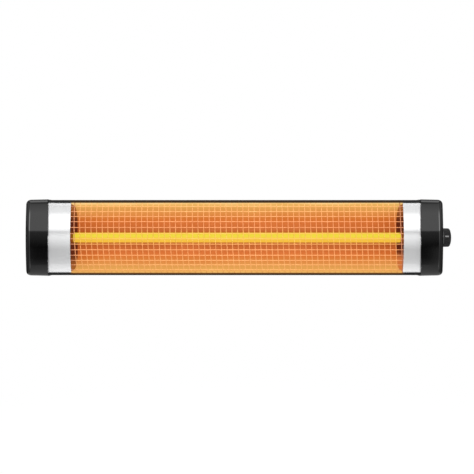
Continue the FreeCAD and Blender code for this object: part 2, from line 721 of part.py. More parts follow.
def lead_left():
    """From the tube's left end round behind the reflector to the terminal block."""
    out = ceramic_end_left()
    turn = (LEAD_DEPTH - TUBE_DEPTH) / 2
    way = block_ways()[-1]
    points = [at(out, TUBE_DEPTH, 0), at(out - turn, TUBE_DEPTH, 0), at(out - turn, LEAD_DEPTH, 0)]
    points += [at(block_start() - 3 * turn, LEAD_DEPTH, 0)]
    points += [at(block_start() - turn, block_depth(), way)]
    points += [at(block_start() + LEAD_GRIP, block_depth(), way)]
    return lead(points, "lead_left")


def lead_right():
    """From the tube's right end to the regulator's upper tab."""
    out = ceramic_end_right()
    third = (tab_end() - out) / 3
    height = tab_heights()[-1]
    points = [at(out, TUBE_DEPTH, 0), at(out + third, TUBE_DEPTH, 0)]
    points += [at(tab_end() - third, REGULATOR_DEPTH, height), at(tab_end(), REGULATOR_DEPTH, height)]
    return lead(points, "lead_right")


def lead_supply():
    """From the terminal block to the regulator's lower tab."""
    start = block_start() + BLOCK_LENGTH
    middle = (start + tab_end()) / 2
    height = tab_heights()[0]
    way = block_ways()[1]
    points = [at(start - LEAD_GRIP, block_depth(), way), at(middle, block_depth(), way)]
    points += [at(middle, REGULATOR_DEPTH, height), at(tab_end(), REGULATOR_DEPTH, height)]
    return lead(points, "lead_supply")


def stud_place():
    """Where the earth stud stands on the housing's back wall: (x, z)."""
    return block_start() + BLOCK_LENGTH / 2, -BLOCK_Z


def earth_lead():
    """From the terminal block up to the earth stud."""
    start = block_start() + BLOCK_LENGTH
    stud_x, stud_z = stud_place()
    way = block_ways()[0]
    out = start + LEAD_EXIT
    stud_side = stud_x + STUD_ACROSS / 2 + SLIDE_CLEARANCE
    depth = INNER_BACK - STUD_LENGTH / 2
    points = [at(start - LEAD_GRIP, block_depth(), way), at(out, block_depth(), way)]
    points += [at(out, depth, (way + stud_z) / 2), at(out, depth, stud_z), at(stud_side, depth, stud_z)]
    return lead(points, "earth_lead")


def earth_stud():
    """The hexagon stud that earths the housing."""
    stud_x, stud_z = stud_place()
    return hexagon(STUD_ACROSS, STUD_LENGTH, 0, at(stud_x, INNER_BACK - SLIDE_CLEARANCE, stud_z), -Y_AXIS)


def lead_clips():
    """Small moulded saddles on the housing's back wall that carry the long lead."""
    bore = LEAD_SIZE + 2 * SLIDE_CLEARANCE
    outer = bore + 2 * CLIP_WALL
    stem_length = INNER_BACK - SLIDE_CLEARANCE - LEAD_DEPTH
    clips = []
    for step in (-1, 0, 1):
        start = at(CLIP_SPACING * step - CLIP_WIDTH / 2, LEAD_DEPTH, 0)
        stem = Part.makeBox(CLIP_WIDTH, stem_length, outer, start - Z_AXIS * (outer / 2))
        clip = square_bar(outer, start, CLIP_WIDTH).fuse(stem)
        clips.append(clip.cut(square_bar(bore, start, CLIP_WIDTH)).removeSplitter())
    return Part.makeCompound(clips)


def ear_outline(base_depth, base_half, ear_depth, x):
    """Side outline of a bracket: a base of the given half height that narrows to a round ear on the hinge."""
    towards = 1 if ear_depth > base_depth else -1
    half = EAR_END / 2
    tip = ear_depth + towards * half
    shoulder = base_depth + towards * EAR_SHOULDER
    corners = [(base_depth, -base_half, 0), (shoulder, -base_half, 0), (tip, -half, half)]
    corners += [(d, -z, r) for d, z, r in reversed(corners)]
    return rounded_wire(corners, lambda depth, z: at(x, depth, z))


def channel(inner_half, sheet, base_depth, towards, ear_depth, base_half):
    """A bracket folded from sheet: a base in the plane at base_depth and an ear at each side."""
    outer_half = inner_half + sheet
    ear_tip = ear_depth + towards * EAR_END / 2
    bend_in = BRACKET_BEND
    bend_out = BRACKET_BEND + sheet
    inside = base_depth + towards * sheet
    corners = [(outer_half, base_depth, bend_out), (outer_half, ear_tip, 0), (inner_half, ear_tip, 0)]
    corners += [(inner_half, inside, bend_in)]
    corners += [(-x, d, r) for x, d, r in reversed(corners)]
    wire = rounded_wire(corners, lambda x, depth: at(x, depth, -base_half))
    folded = prism(wire, Z_AXIS * (2 * base_half))
    side = prism(ear_outline(base_depth, base_half, ear_depth, -outer_half), X_AXIS * (2 * outer_half))
    return folded.common(side)


def hinge_inner():
    """Half the distance between the hinge bracket's ears."""
    return HINGE_WIDTH / 2 - HINGE_SHEET


def bracket_inner():
    """Half the distance between the wall bracket's ears, which stand outside the hinge bracket's."""
    return HINGE_WIDTH / 2 + WASHER_THICKNESS + 2 * WASHER_GAP


def hinge_hole():
    """The cutter for the tilt bolts' holes, right through both brackets."""
    reach = bracket_inner() + BRACKET_SHEET
    return drill(TILT_HOLE, at(-reach, HINGE_DEPTH, 0), 2 * reach, X_AXIS)


def hinge_bracket():
    """The folded bracket on the heater's back."""
    bracket = channel(hinge_inner(), HINGE_SHEET, HOUSING_DEPTH, 1, HINGE_DEPTH, HINGE_HEIGHT / 2)
    return bracket.cut(hinge_hole())


def wall_bracket():
    """The folded bracket that is screwed to the wall."""
    bracket = channel(bracket_inner(), BRACKET_SHEET, WALL_DEPTH, -1, HINGE_DEPTH, BRACKET_HEIGHT / 2)
    cuts = [hinge_hole()]
    for x in (-WALL_HOLE_SPACING_X / 2, WALL_HOLE_SPACING_X / 2):
        for z in (-WALL_HOLE_SPACING_Z / 2, WALL_HOLE_SPACING_Z / 2):
            cuts.append(drill(WALL_HOLE, at(x, WALL_DEPTH - BRACKET_SHEET, z), BRACKET_SHEET, Y_AXIS))
    return bracket.cut(Part.makeCompound(cuts))


def tilt_bolts():
    """The two hinge bolts, heads outside the wall bracket and tails inside the hinge bracket."""
    seat = bracket_inner() + BRACKET_SHEET
    tail = hinge_inner() - WASHER_GAP - TILT_NUT_HEIGHT - TILT_BOLT_TAIL
    head = hexagon(TILT_HEAD_ACROSS, TILT_HEAD_HEIGHT, 0, at(seat, HINGE_DEPTH, 0), X_AXIS)
    shank = rod(TILT_BOLT, at(tail, HINGE_DEPTH, 0), seat - tail, X_AXIS)
    bolt = head.fuse(shank).removeSplitter()
    return Part.makeCompound([bolt, mirrored(bolt)])


def tilt_nuts():
    start = at(hinge_inner() - WASHER_GAP, HINGE_DEPTH, 0)
    nut = hexagon(TILT_HEAD_ACROSS, TILT_NUT_HEIGHT, TILT_HOLE, start, -X_AXIS)
    return Part.makeCompound([nut, mirrored(nut)])


def friction_washers():
    """The washers between the two brackets' ears, whose grip holds the tilt."""
    start = at(HINGE_WIDTH / 2 + WASHER_GAP, HINGE_DEPTH, 0)
    washer = rod(WASHER_DIAMETER, start, WASHER_THICKNESS, X_AXIS)
    washer = washer.cut(drill(TILT_HOLE, start, WASHER_THICKNESS, X_AXIS))
    return Part.makeCompound([washer, mirrored(washer)])


def pieces():
    """Every piece of the heater by name."""
    fascia_end = HOUSING_END_X - SLIDE_CLEARANCE
    return {
        "housing_shell": housing_shell(),
        "fascia_left": fascia(-fascia_end, OPENING_LEFT),
        "fascia_right": fascia(OPENING_RIGHT, fascia_end),
        "grille_cross_wires": grille_cross_wires(),
        "grille_long_wires": grille_long_wires(),
        "reflector": reflector(),
        "reflector_ends": at_both_ends(reflector_end_right()),
        "quartz_tube": quartz_tube(),
        "heating_ribbon": heating_ribbon(),
        "tube_ceramics": at_both_ends(tube_end_right()),
        "tube_retainers": at_both_ends(tube_retainer_right()),
        "end_caps": Part.makeCompound([mirrored(end_cap_blank()), end_cap_right()]),
        "regulator_body": regulator_body(),
        "regulator_shaft": regulator_shaft(),
        "regulator_terminals": regulator_terminals(),
        "control_knob": control_knob(),
        "cable_gland": cable_gland(),
        "terminal_block": terminal_block(),
        "terminal_clamps": terminal_clamps(),
        "inner_leads": Part.makeCompound([lead_left(), lead_right(), lead_supply(), earth_lead()]),
        "earth_stud": earth_stud(),
        "lead_clips": lead_clips(),
        "hinge_bracket": hinge_bracket(),
        "wall_bracket": wall_bracket(),
        "tilt_bolts": tilt_bolts(),
        "tilt_nuts": tilt_nuts(),
        "friction_washers": friction_washers(),
    }


def main():
    os.makedirs("parts", exist_ok=True)
    for name, shape in pieces().items():
        shape.exportStep(os.path.join("parts", name + ".step"))
        print(name, len(shape.Solids), "solids,", round(shape.Volume), "mm3, valid", shape.isValid())


main()
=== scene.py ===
# %% [markdown]
# A wall-hung infrared heater: one glowing quartz tube in a polished trough, a bowed wire grille in
# front of it, bright plates and black end caps at the sides, a knob on the right end and a tilting
# bracket behind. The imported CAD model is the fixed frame. It could be modelled again from nothing, but
# then sizes would drift, so every piece below takes its place from the frame's own axes: X along the
# heater, Y to the wall, Z up.

# %% Load the frame
import json
import math

import bmesh
import bpy
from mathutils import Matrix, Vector


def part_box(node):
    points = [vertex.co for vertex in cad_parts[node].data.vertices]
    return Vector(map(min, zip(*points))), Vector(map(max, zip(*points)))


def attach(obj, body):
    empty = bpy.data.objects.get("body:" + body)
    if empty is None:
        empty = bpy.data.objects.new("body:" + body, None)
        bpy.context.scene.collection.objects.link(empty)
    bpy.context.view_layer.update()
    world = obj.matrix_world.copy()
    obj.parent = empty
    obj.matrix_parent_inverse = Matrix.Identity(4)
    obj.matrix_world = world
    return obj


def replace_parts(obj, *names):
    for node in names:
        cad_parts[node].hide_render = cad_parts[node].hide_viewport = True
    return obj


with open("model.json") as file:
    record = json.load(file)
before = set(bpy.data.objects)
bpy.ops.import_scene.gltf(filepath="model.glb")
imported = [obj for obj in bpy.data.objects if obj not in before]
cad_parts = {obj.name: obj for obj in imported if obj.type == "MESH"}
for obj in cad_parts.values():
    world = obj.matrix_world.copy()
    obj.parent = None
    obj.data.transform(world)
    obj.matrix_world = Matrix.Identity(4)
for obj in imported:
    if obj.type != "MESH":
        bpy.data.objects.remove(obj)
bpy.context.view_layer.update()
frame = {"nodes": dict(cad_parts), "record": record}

MM = 0.001


def span(node, axis):
    """Lowest and highest place of a CAD node along an axis, in millimetres."""
    low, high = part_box(node)
    return low[axis] / MM, high[axis] / MM


OPENING = (span("fascia_left", 0)[1], span("fascia_right", 0)[0])
OPENING_MIDDLE = sum(OPENING) / 2
OPENING_HALF = (OPENING[1] - OPENING[0]) / 2
print("opening", round(2 * OPENING_HALF, 1), "mm wide, its middle at", round(OPENING_MIDDLE, 2), "mm")

# %% [markdown]
# The camera comes first, because every finish is judged through it. The picture is taken head-on, from
# about one and three quarter metres in front, so a plain perspective camera that looks along +Y is
# enough. A longer lens from further away would flatten the trough's dark end walls, which show its
# depth.

# %% Camera
CAMERA_AWAY, CAMERA_UP = 1759.0, 1.3
LENS = 54.94
SENSOR = 36.0

camera = bpy.data.objects.new("camera", bpy.data.cameras.new("camera"))
bpy.context.scene.collection.objects.link(camera)
camera.data.lens = LENS
camera.data.sensor_width = SENSOR
camera.location = Vector((OPENING_MIDDLE, -CAMERA_AWAY, CAMERA_UP)) * MM
camera.rotation_euler = (math.pi / 2, 0, 0)
bpy.context.scene.camera = camera
bpy.context.scene.view_settings.view_transform = "Standard"
print("camera", CAMERA_AWAY, "mm in front of the wall")

# %% [markdown]
# A material is a graph of nodes. Wiring it by hand is slow to read, so one small class wraps a socket:
# sums on it add Math nodes, and its node method adds any other node, with the settings first and the
# sockets next. The other way would be a long list of links, in which the formula behind a finish can no
# longer be seen.

# %% Sockets that can be added and multiplied
class Flow:
    """An output socket of a node tree, on which sums can be written."""

    def __init__(self, tree, socket=None):
        self.tree = tree
        self.socket = socket

    def node(self, kind, settings=None, sockets=None, out=None):
        """Adds a node with these settings and these values or links, and gives one of its outputs."""
        made = self.tree.nodes.new(kind)
        for name, value in (settings or {}).items():
            if name == "stops":
                set_stops(made.color_ramp, value)
            else:
                setattr(made, name, value)
        for name, value in (sockets or {}).items():
            socket = next(s for s in made.inputs if name in (s.identifier, s.name))
            if isinstance(value, Flow):
                self.tree.links.new(value.socket, socket)
            else:
                socket.default_value = value
        given = [s for s in made.outputs if out in (None, s.identifier, s.name)]
        return Flow(self.tree, given[0]) if given else None

    def sum(self, operation, first, second):
        """A Math node on two values or sockets."""
        terms = {"Value": first, "Value_001": second}
        return self.node("ShaderNodeMath", {"operation": operation}, terms)

    def __add__(self, other):
        return self.sum("ADD", self, other)

    def __radd__(self, other):
        return self.sum("ADD", other, self)

    def __sub__(self, other):
        return self.sum("SUBTRACT", self, other)

    def __rsub__(self, other):
        return self.sum("SUBTRACT", other, self)

    def __mul__(self, other):
        return self.sum("MULTIPLY", self, other)

    def __rmul__(self, other):
        return self.sum("MULTIPLY", other, self)

    def __abs__(self):
        return self.node("ShaderNodeMath", {"operation": "ABSOLUTE"}, {"Value": self})

    def part(self, axis):
        """One coordinate of this vector: X, Y or Z."""
        return self.node("ShaderNodeSeparateXYZ", {}, {"Vector": self}, axis)

    def times(self, factors):
        """This vector with each coordinate multiplied by its own factor."""
        sockets = {"Vector": self, "Vector_001": factors}
        return self.node("ShaderNodeVectorMath", {"operation": "MULTIPLY"}, sockets)

    def step(self, start, end):
        """A soft step that is 0 where this value is at start and 1 where it is at end."""
        sockets = {"Value": self, "From Min": start, "From Max": end}
        return self.node("ShaderNodeMapRange", {"interpolation_type": "SMOOTHSTEP"}, sockets, "Result")

    def blend(self, first, second):
        """A colour between two colours, with this socket as the share of the second."""
        sockets = {"Factor_Float": self, "A_Color": first, "B_Color": second}
        return self.node("ShaderNodeMix", {"data_type": "RGBA"}, sockets, "Result_Color")


def set_stops(ramp, stops):
    """Gives a colour ramp these (place, colour) stops, in order."""
    while len(ramp.elements) < len(stops):
        ramp.elements.new(1.0)
    for element, (place, colour) in zip(ramp.elements, stops):
        element.position = place
        element.color = colour


def paint(red, green, blue):
    """A colour as a screen shows it, 0 to 255, turned into the linear colour that the shader works in."""
    parts = []
    for part in (red, green, blue):
        share = part / 255
        parts.append(share / 12.92 if share <= 0.04045 else ((share + 0.055) / 1.055) ** 2.4)
    return (*parts, 1.0)


def grey(level):
    """A neutral linear colour."""
    return (level, level, level, 1.0)


print("shader sums are ready")

# %% [markdown]
# The eye sees a white world, but bright metal and polished plastic show what stands round them. So the
# world has a second, studio side that only reflections see. Up and down it is a ramp: a pale ground, a
# dim room, a broad light panel above eye level, a dark gap and a bright ceiling. A picture of a studio
# could do the same, but a ramp needs no file, and each of its steps makes one band on the caps and
# plates.

# %% Studio from the ground up
WHITE = grey(1.0)
STUDIO_BY_ELEVATION = (
    (-90, 1.00), (-45, 0.95), (-36, 0.58), (-30, 0.42), (-25, 0.16), (-20, 0.05), (-9, 0.02), (-3, 0.11),
    (5.9, 0.24), (6.5, 1.00), (24, 1.00), (28, 0.85), (34, 0.65), (37, 0.08), (43, 0.08),
    (51, 1.50), (90, 1.50),
)

world = bpy.data.worlds.new("studio")
bpy.context.scene.world = world
world.use_nodes = True
world.node_tree.nodes.clear()
air = Flow(world.node_tree)
direction = air.node("ShaderNodeTexCoord", out="Generated")
upwards = direction.part("Z")
rising = [((math.sin(math.radians(e)) + 1) / 2, grey(b)) for e, b in STUDIO_BY_ELEVATION]
level = air.node("ShaderNodeValToRGB", {"stops": rising}, {"Fac": 0.5 + 0.5 * upwards})
print("studio in", len(rising), "steps from the ground to the ceiling")

# %% [markdown]
# To the sides the studio changes too. A bright upright strip draws the thin line near each cap's outer
# edge, with a side wall beyond it and a faint pale foot low down, and behind the heater all is dimmer.
# Soft steps on the direction's coordinates draw them. Real lamps could stand there, but they would
# light the matt pieces too. The eye and clear glass get plain white, and matt surfaces an even fill.

# %% Studio from the middle to the sides
FILL, PANEL = 1.10, 1.38
STRIP_FROM, STRIP_TO = (0.32, 0.34), (0.62, 0.66)
STRIP_SHARE, STRIP_LOW = 1.7, 0.35
STRIP_TOP = (0.34, 0.45)
BEYOND_STRIP = 0.30
SIDE_WALL, SIDE_FADE = 0.20, (0.62, 0.85)
BACK_DIM, BACK_FADE = 0.75, (-0.10, 0.30)
FOOT_GLOW, FOOT_OFF_CENTRE = 0.18, 0.008
FOOT_FROM, FOOT_TO = (0.260, 0.280), (0.30, 0.34)
FOOT_TOP = (-0.10, -0.20)


def ray(flow, kind):
    """1 for rays of this kind, such as Camera or Glossy, and 0 for others."""
    return flow.node("ShaderNodeLightPath", out=f"Is {kind} Ray")


across = direction.part("X")
sideways = abs(across)
past_strip = sideways.step(*STRIP_TO)
strip = sideways.step(*STRIP_FROM) * (1 - past_strip) * (1 - upwards.step(*STRIP_TOP))
strip = strip * (STRIP_LOW + STRIP_SHARE * level)
foot = abs(across + FOOT_OFF_CENTRE).step(*FOOT_FROM) * (1 - sideways.step(*FOOT_TO))
foot = foot * upwards.step(*FOOT_TOP)
behind = direction.part("Y").step(*BACK_FADE)
around = level * (1 - (1 - BEYOND_STRIP) * past_strip) + strip + SIDE_WALL * sideways.step(*SIDE_FADE)
around = (around + FOOT_GLOW * foot) * (1 - BACK_DIM * behind)
seen = ray(air, "Camera")
mirrored = ray(air, "Glossy")
through = ray(air, "Transmission")
strength = seen + PANEL * mirrored * around + through + FILL * (1 - seen - mirrored - through)
sky = air.node("ShaderNodeBackground", {}, {"Color": WHITE, "Strength": strength})
air.node("ShaderNodeOutputWorld", {}, {"Surface": sky})
print("studio with a strip, a wall and a pale foot at each side")

# %% [markdown]
# The stage is a pale round floor well below the heater. It glows white to the eye and stays matt
# underneath, so that it keeps the heater's shadow; towards its rim the glow takes over, and no horizon
# shows. In reflections the rim is grey. A backdrop bent up behind would show at once in the side views.

# %% Floor
TURN = 2 * math.pi
FLOOR_DROP = 0.60
FLOOR_RADIUS, FLOOR_SIDES = 1.4, 96
FLOOR_MATT = grey(0.9)
FLOOR_WHITE, FLOOR_FADE = 0.94, (0.5, 1.3)
RIM_GREY, RIM_FADE = grey(0.50), (0.90, 1.45)
FLATTENED = (1, 1, 0)


def steps(first, last, count):
    """So many even steps from the first value, which stop one short of the last."""
    return [first + (last - first) * index / count for index in range(count)]


def new_finish(name):
    """An empty material and the start of its node tree."""
    material = bpy.data.materials.new(name)
    material.use_nodes = True
    material.node_tree.nodes.clear()
    return material, Flow(material.node_tree)


def cover(flow, shader):
    """Makes a shader the surface of its material."""
    flow.node("ShaderNodeOutputMaterial", {}, {"Surface": shader})


floor_mesh = bpy.data.meshes.new("floor")
rim = [(FLOOR_RADIUS * math.cos(a), FLOOR_RADIUS * math.sin(a)) for a in steps(0, TURN, FLOOR_SIDES)]
floor_mesh.from_pydata([(x, y, -FLOOR_DROP) for x, y in rim], [], [list(range(FLOOR_SIDES))])
floor = bpy.data.objects.new("floor", floor_mesh)
bpy.context.scene.collection.objects.link(floor)
pale, ground = new_finish("pale_floor")
reflected = ray(ground, "Glossy")
looked_at = ray(ground, "Camera") + reflected + ray(ground, "Transmission")
flat = ground.node("ShaderNodeTexCoord", out="Object").times(FLATTENED)
away = ground.node("ShaderNodeVectorMath", {"operation": "LENGTH"}, {"Vector": flat}, "Value")
glow_share = looked_at * (FLOOR_WHITE + (1 - FLOOR_WHITE) * away.step(*FLOOR_FADE))
matt = ground.node("ShaderNodeBsdfDiffuse", {}, {"Color": FLOOR_MATT})
lit_colour = (reflected * away.step(*RIM_FADE)).blend(WHITE, RIM_GREY)
lit = ground.node("ShaderNodeEmission", {}, {"Color": lit_colour, "Strength": 1.0})
layers = {"Fac": glow_share, "Shader": matt, "Shader_001": lit}
cover(ground, ground.node("ShaderNodeMixShader", {}, layers))
floor_mesh.materials.append(pale)
print("floor", FLOOR_DROP, "m below the middle")

# %% [markdown]
# Three soft lamps give the matt pieces their shape: one overhead, one behind for the bracket's side,
# and a small one in front, a little below the heater's middle. The world alone would light them evenly
# from all round, and they would look flat.

# %% Lamps
HEATER_MIDDLE = Vector((0.0, -0.11, 0.0))
LAMPS = (
    ("lamp_overhead", (0.0, -0.55, 1.35), 1.5, 0.7, 9.0),
    ("lamp_back", (0.0, 1.5, 0.9), 1.6, 0.8, 9.0),
    ("lamp_front", (0.0, -1.75, -0.10), 0.5, 0.3, 6.5),
)

for name, place, width, length, power in LAMPS:
    light = bpy.data.lights.new(name, "AREA")
    light.shape = "RECTANGLE"
    light.size = width
    light.size_y = length
    light.energy = power
    holder = bpy.data.objects.new(name, light)
    bpy.context.scene.collection.objects.link(holder)
    holder.location = place
    holder.rotation_euler = (HEATER_MIDDLE - Vector(place)).to_track_quat("-Z", "Y").to_euler()
    holder.visible_camera = False
print(len(LAMPS), "soft lamps")

# %% [markdown]
# Most finishes are a base colour with fine grain: moulded plastic, coated sheet, plated steel. They
# differ in numbers more than in kind, so one recipe makes them: a broad noise mottles the colour, a
# fine one varies the roughness and lifts the surface. Each material could be drawn on its own, but then
# small faults would differ too.

# %% The grain that finishes share
MOTTLE, MOTTLE_DETAIL = 22.0, 4.0


def place_on(flow, axis):
    """One coordinate in metres, which stays with the piece."""
    return flow.node("ShaderNodeTexCoord", out="Object").part(axis)


def noise(flow, scale, detail=2.0, stretch=(1.0, 1.0, 1.0)):
    """Cloudy values about one half; scale counts the clouds in a metre."""
    where = flow.node("ShaderNodeTexCoord", out="Object").times(stretch)
    return flow.node("ShaderNodeTexNoise", {}, {"Vector": where, "Scale": scale, "Detail": detail}, "Fac")


def uneven(middle, spread, clouds):
    """A value that clouds spread to both sides of its middle."""
    return middle + spread * (clouds - 0.5)


def bumped(flow, height, distance, strength=0.3):
    """A surface lifted by a height, whose full range is the distance in metres."""
    sockets = {"Height": height, "Distance": distance, "Strength": strength}
    return flow.node("ShaderNodeBump", {}, sockets, "Normal")


def surface(flow, sockets):
    """A Principled shader with these values or links."""
    return flow.node("ShaderNodeBsdfPrincipled", {}, sockets)


def grained(name, dark, light, rough, spread, grain, lift, metal=0.0, shine=0.5):
    """A finish with mottled colour and a fine grain of the given clouds per metre and lift in metres."""
    material, flow = new_finish(name)
    fine = noise(flow, grain, 3.0)
    colour = noise(flow, MOTTLE, MOTTLE_DETAIL).blend(dark, light)
    cover(flow, surface(flow, {
        "Base Color": colour, "Roughness": uneven(rough, spread, fine), "Metallic": metal,
        "Specular IOR Level": shine, "Normal": bumped(flow, fine, lift)}))
    return material


finishes = {
    "bracket_black": grained("black_powder_coat", grey(0.022), grey(0.040), 0.52, 0.25, 900, 0.00020),
    "knob_black": grained(
        "fluted_black_moulding", grey(0.003), grey(0.009), 0.42, 0.3, 1800, 0.00010, shine=0.22),
    "gland_black": grained("black_nylon", grey(0.016), grey(0.030), 0.48, 0.2, 1200, 0.00008),
    "washer_dark": grained("dark_fibre", grey(0.025), grey(0.055), 0.80, 0.2, 1600, 0.00015),
    "moulded_grey": grained("grey_moulding", grey(0.42), grey(0.52), 0.55, 0.2, 1200, 0.00008),
    "lead_sleeve": grained(
        "silicone_sleeve", (0.60, 0.57, 0.48, 1), (0.70, 0.67, 0.58, 1), 0.6, 0.2, 900, 0.0001),
    "ceramic": grained(
        "bare_ceramic", (0.78, 0.74, 0.66, 1), (0.86, 0.83, 0.76, 1), 0.7, 0.2, 700, 0.0001),
    "brass": grained(
        "plain_brass", (0.68, 0.50, 0.22, 1), (0.80, 0.62, 0.30, 1), 0.3, 0.2, 600, 0.00004, metal=1.0),
    "zinc_steel": grained("zinc_plate", grey(0.48), grey(0.66), 0.34, 0.3, 500, 0.00005, metal=1.0),
    "element": grained(
        "oxidised_strip", (0.30, 0.12, 0.05, 1), (0.55, 0.26, 0.11, 1), 0.5, 0.2, 800, 0.0001, metal=1.0),
    "pointer_print": grained("pale_print", grey(0.15), grey(0.22), 0.5, 0.2, 1500, 0.00005),
    "collar_grey": grained("dark_grey_moulding", grey(0.045), grey(0.065), 0.45, 0.2, 1500, 0.00005),
}
print(len(finishes), "grained finishes")

# %% [markdown]
# The housing is an extruded section with a satin black coat. Along the opening a brown tint is painted on
# the lips as painted glow from the trough. The lower lip's edge, on which the trough's light falls, gets
# more of this painted light. A second material on those faces would end in a hard line, so the painted glow
# fades in by place instead.

# %% Black coat, with painted glow along the lips
# Painted light: these brown tints stand in for the trough's glow on the lips. They are not the coat's own
# colour.
LIP_GLOW_PAINT = (0.022, 0.010, 0.0015, 1.0)
LOWER_LIP_GLOW_PAINT = (0.13, 0.050, 0.011, 1.0)
LIP_FADE = (-0.138, -0.145)
LIT_EDGE = (-0.0812, -0.0790)
LOWER_HALF = (0.01, -0.01)
GLOW_BLUR = 6.0


def within_opening(flow, none_at, full_at):
    """A share from 0 to 1 between two places, in millimetres outwards from the opening's ends."""
    off_middle = abs(place_on(flow, "X") - OPENING_MIDDLE * MM)
    return off_middle.step((OPENING_HALF + none_at) * MM, (OPENING_HALF + full_at) * MM)


material, flow = new_finish("satin_black_coat")
fine = noise(flow, 1400.0, 3.0)
height = place_on(flow, "Z")
glow_on_lips = within_opening(flow, GLOW_BLUR, -GLOW_BLUR) * place_on(flow, "Y").step(*LIP_FADE)
lit_edge = height.step(*LIT_EDGE) * height.step(*LOWER_HALF)
cool = noise(flow, MOTTLE, MOTTLE_DETAIL).blend(grey(0.008), grey(0.014))
cover(flow, surface(flow, {
    "Base Color": glow_on_lips.blend(cool, lit_edge.blend(LIP_GLOW_PAINT, LOWER_LIP_GLOW_PAINT)),
    "Roughness": uneven(0.34, 0.2, fine), "Specular IOR Level": 0.06,
    "Normal": bumped(flow, fine, 0.00008)}))
finishes["housing_black"] = material
print("housing: satin black with brown lips")

# %% [markdown]
# The end caps are polished black mouldings: nearly a mirror, but with the faint waves that moulded
# plastic has. Soft waves in the normal and a slightly uneven roughness break the reflections as the
# real surface does. A plain gloss would be quicker to set, but it would show the studio as a perfect
# mirror.

# %% Polished black caps
material, flow = new_finish("polished_black_moulding")
waves = noise(flow, 60.0, 1.0)
dust = noise(flow, 700.0, 3.0)
cover(flow, surface(flow, {
    "Base Color": noise(flow, 18.0).blend(grey(0.0005), grey(0.0012)),
    "Roughness": 0.03 + 0.05 * dust, "Specular IOR Level": 0.66,
    "Normal": bumped(flow, waves, 0.0002, 0.06)}))
finishes["cap_black"] = material
print("caps: roughness 0.03 to 0.08")

# %% [markdown]
# The bright plates are rolled aluminium, brushed along their length and then polished. Such a sheet shows
# two things at once: a sharp image of the light panel and a broad soft shine. One roughness can't do both,
# so two metals, one sharp and one satin, are mixed in a fixed share. Only the satin one carries the
# brushing, which would break the sharp image into specks. A ramp up the plate paints lengthwise bands of
# lighter and darker tone into both as painted sheen and painted shade. The darkest band is painted shade
# where the plate goes under the upper lip.

# %% Bright brushed plates
SHARP_SHARE = 0.34
ALONG_PLATE = (0.06, 1.0, 1.0)
PLATE_HALF = 80.0
# Painted sheen and shade: tones up the plate that multiply the base colour.
SHEEN_AND_SHADE_BANDS = ((-72, 1.00), (-55, 0.92), (-27, 0.75), (-2, 0.93), (4, 0.90), (12, 0.66), (17, 0.66),
                (21, 0.86), (45, 0.86), (57, 0.60), (70, 0.60), (76, 0.74))

material, flow = new_finish("bright_brushed_sheet")
lines = noise(flow, 1500.0, 2.0, ALONG_PLATE)
cloud = noise(flow, 30.0, 3.0)
sheen_stops = [((up + PLATE_HALF) / (2 * PLATE_HALF), grey(tone)) for up, tone in SHEEN_AND_SHADE_BANDS]
up_plate = (place_on(flow, "Z") + PLATE_HALF * MM) * (1 / (2 * PLATE_HALF * MM))
sheen_band = flow.node("ShaderNodeValToRGB", {"stops": sheen_stops}, {"Fac": up_plate}, "Color")
clear = cloud.blend((0.955, 0.96, 0.97, 1), (0.995, 0.998, 1.0, 1))
multiplied = {"data_type": "RGBA", "blend_type": "MULTIPLY"}
sheen_layers = {"Factor_Float": 1.0, "A_Color": clear, "B_Color": sheen_band}
colour = flow.node("ShaderNodeMix", multiplied, sheen_layers, "Result_Color")
satin = surface(flow, {"Base Color": colour, "Metallic": 1.0, "Roughness": uneven(0.50, 0.10, lines),
                       "Normal": bumped(flow, lines, 0.00004, 0.015)})
sharp = surface(flow, {"Base Color": colour, "Metallic": 1.0, "Roughness": 0.02 + 0.03 * lines})
layers = {"Fac": SHARP_SHARE, "Shader": satin, "Shader_001": sharp}
cover(flow, flow.node("ShaderNodeMixShader", {}, layers))
finishes["fascia_silver"] = material
print("plates: a sharp share of", SHARP_SHARE, "and the rest satin")

# %% [markdown]
# The trough is polished sheet that throws the tube's light forward, so what shows is a glow: deep
# orange beside the tube, paler amber towards the lips, and a little less at the lower lip than at the
# upper one. A path tracer could find this from a bright tube alone, but slowly and with noise, so the
# glow is written as emission that follows the height above the tube. Only the side that faces the front
# glows: the sheet's own normal tells the two sides apart, and its back is plain metal.

# %% Glowing trough
TROUGH_HALF = 0.078
GLOW_LIFT = 0.0008
GLOW_PATCHES = 0.16
PATCH_STRETCH = (0.35, 1.0, 1.0)
LOWER_LIP, LOWER_LIP_LESS = (-0.068, -0.075), 0.06
FRONT_SIDE = (0.05, -0.05)
GLOW_STOPS = (
    (0.00, paint(159, 70, 22)), (0.20, paint(159, 70, 22)), (0.45, paint(185, 88, 32)),
    (0.55, paint(192, 99, 36)), (0.72, paint(207, 132, 68)), (0.88, paint(211, 158, 83)),
    (0.95, paint(214, 172, 94)), (1.00, paint(238, 204, 138)),
)

material, flow = new_finish("glowing_polished_sheet")
patches = noise(flow, 26.0, 3.0, PATCH_STRETCH)
height = place_on(flow, "Z")
share = abs(height + GLOW_LIFT) * (1 / TROUGH_HALF) + GLOW_PATCHES * (patches - 0.5)
share = share - LOWER_LIP_LESS * height.step(*LOWER_LIP)
glow = flow.node("ShaderNodeValToRGB", {"stops": GLOW_STOPS}, {"Fac": share}, "Color")
inner = flow.node("ShaderNodeTexCoord", out="Normal").part("Y").step(*FRONT_SIDE)
lines = noise(flow, 900.0, 2.0, ALONG_PLATE)
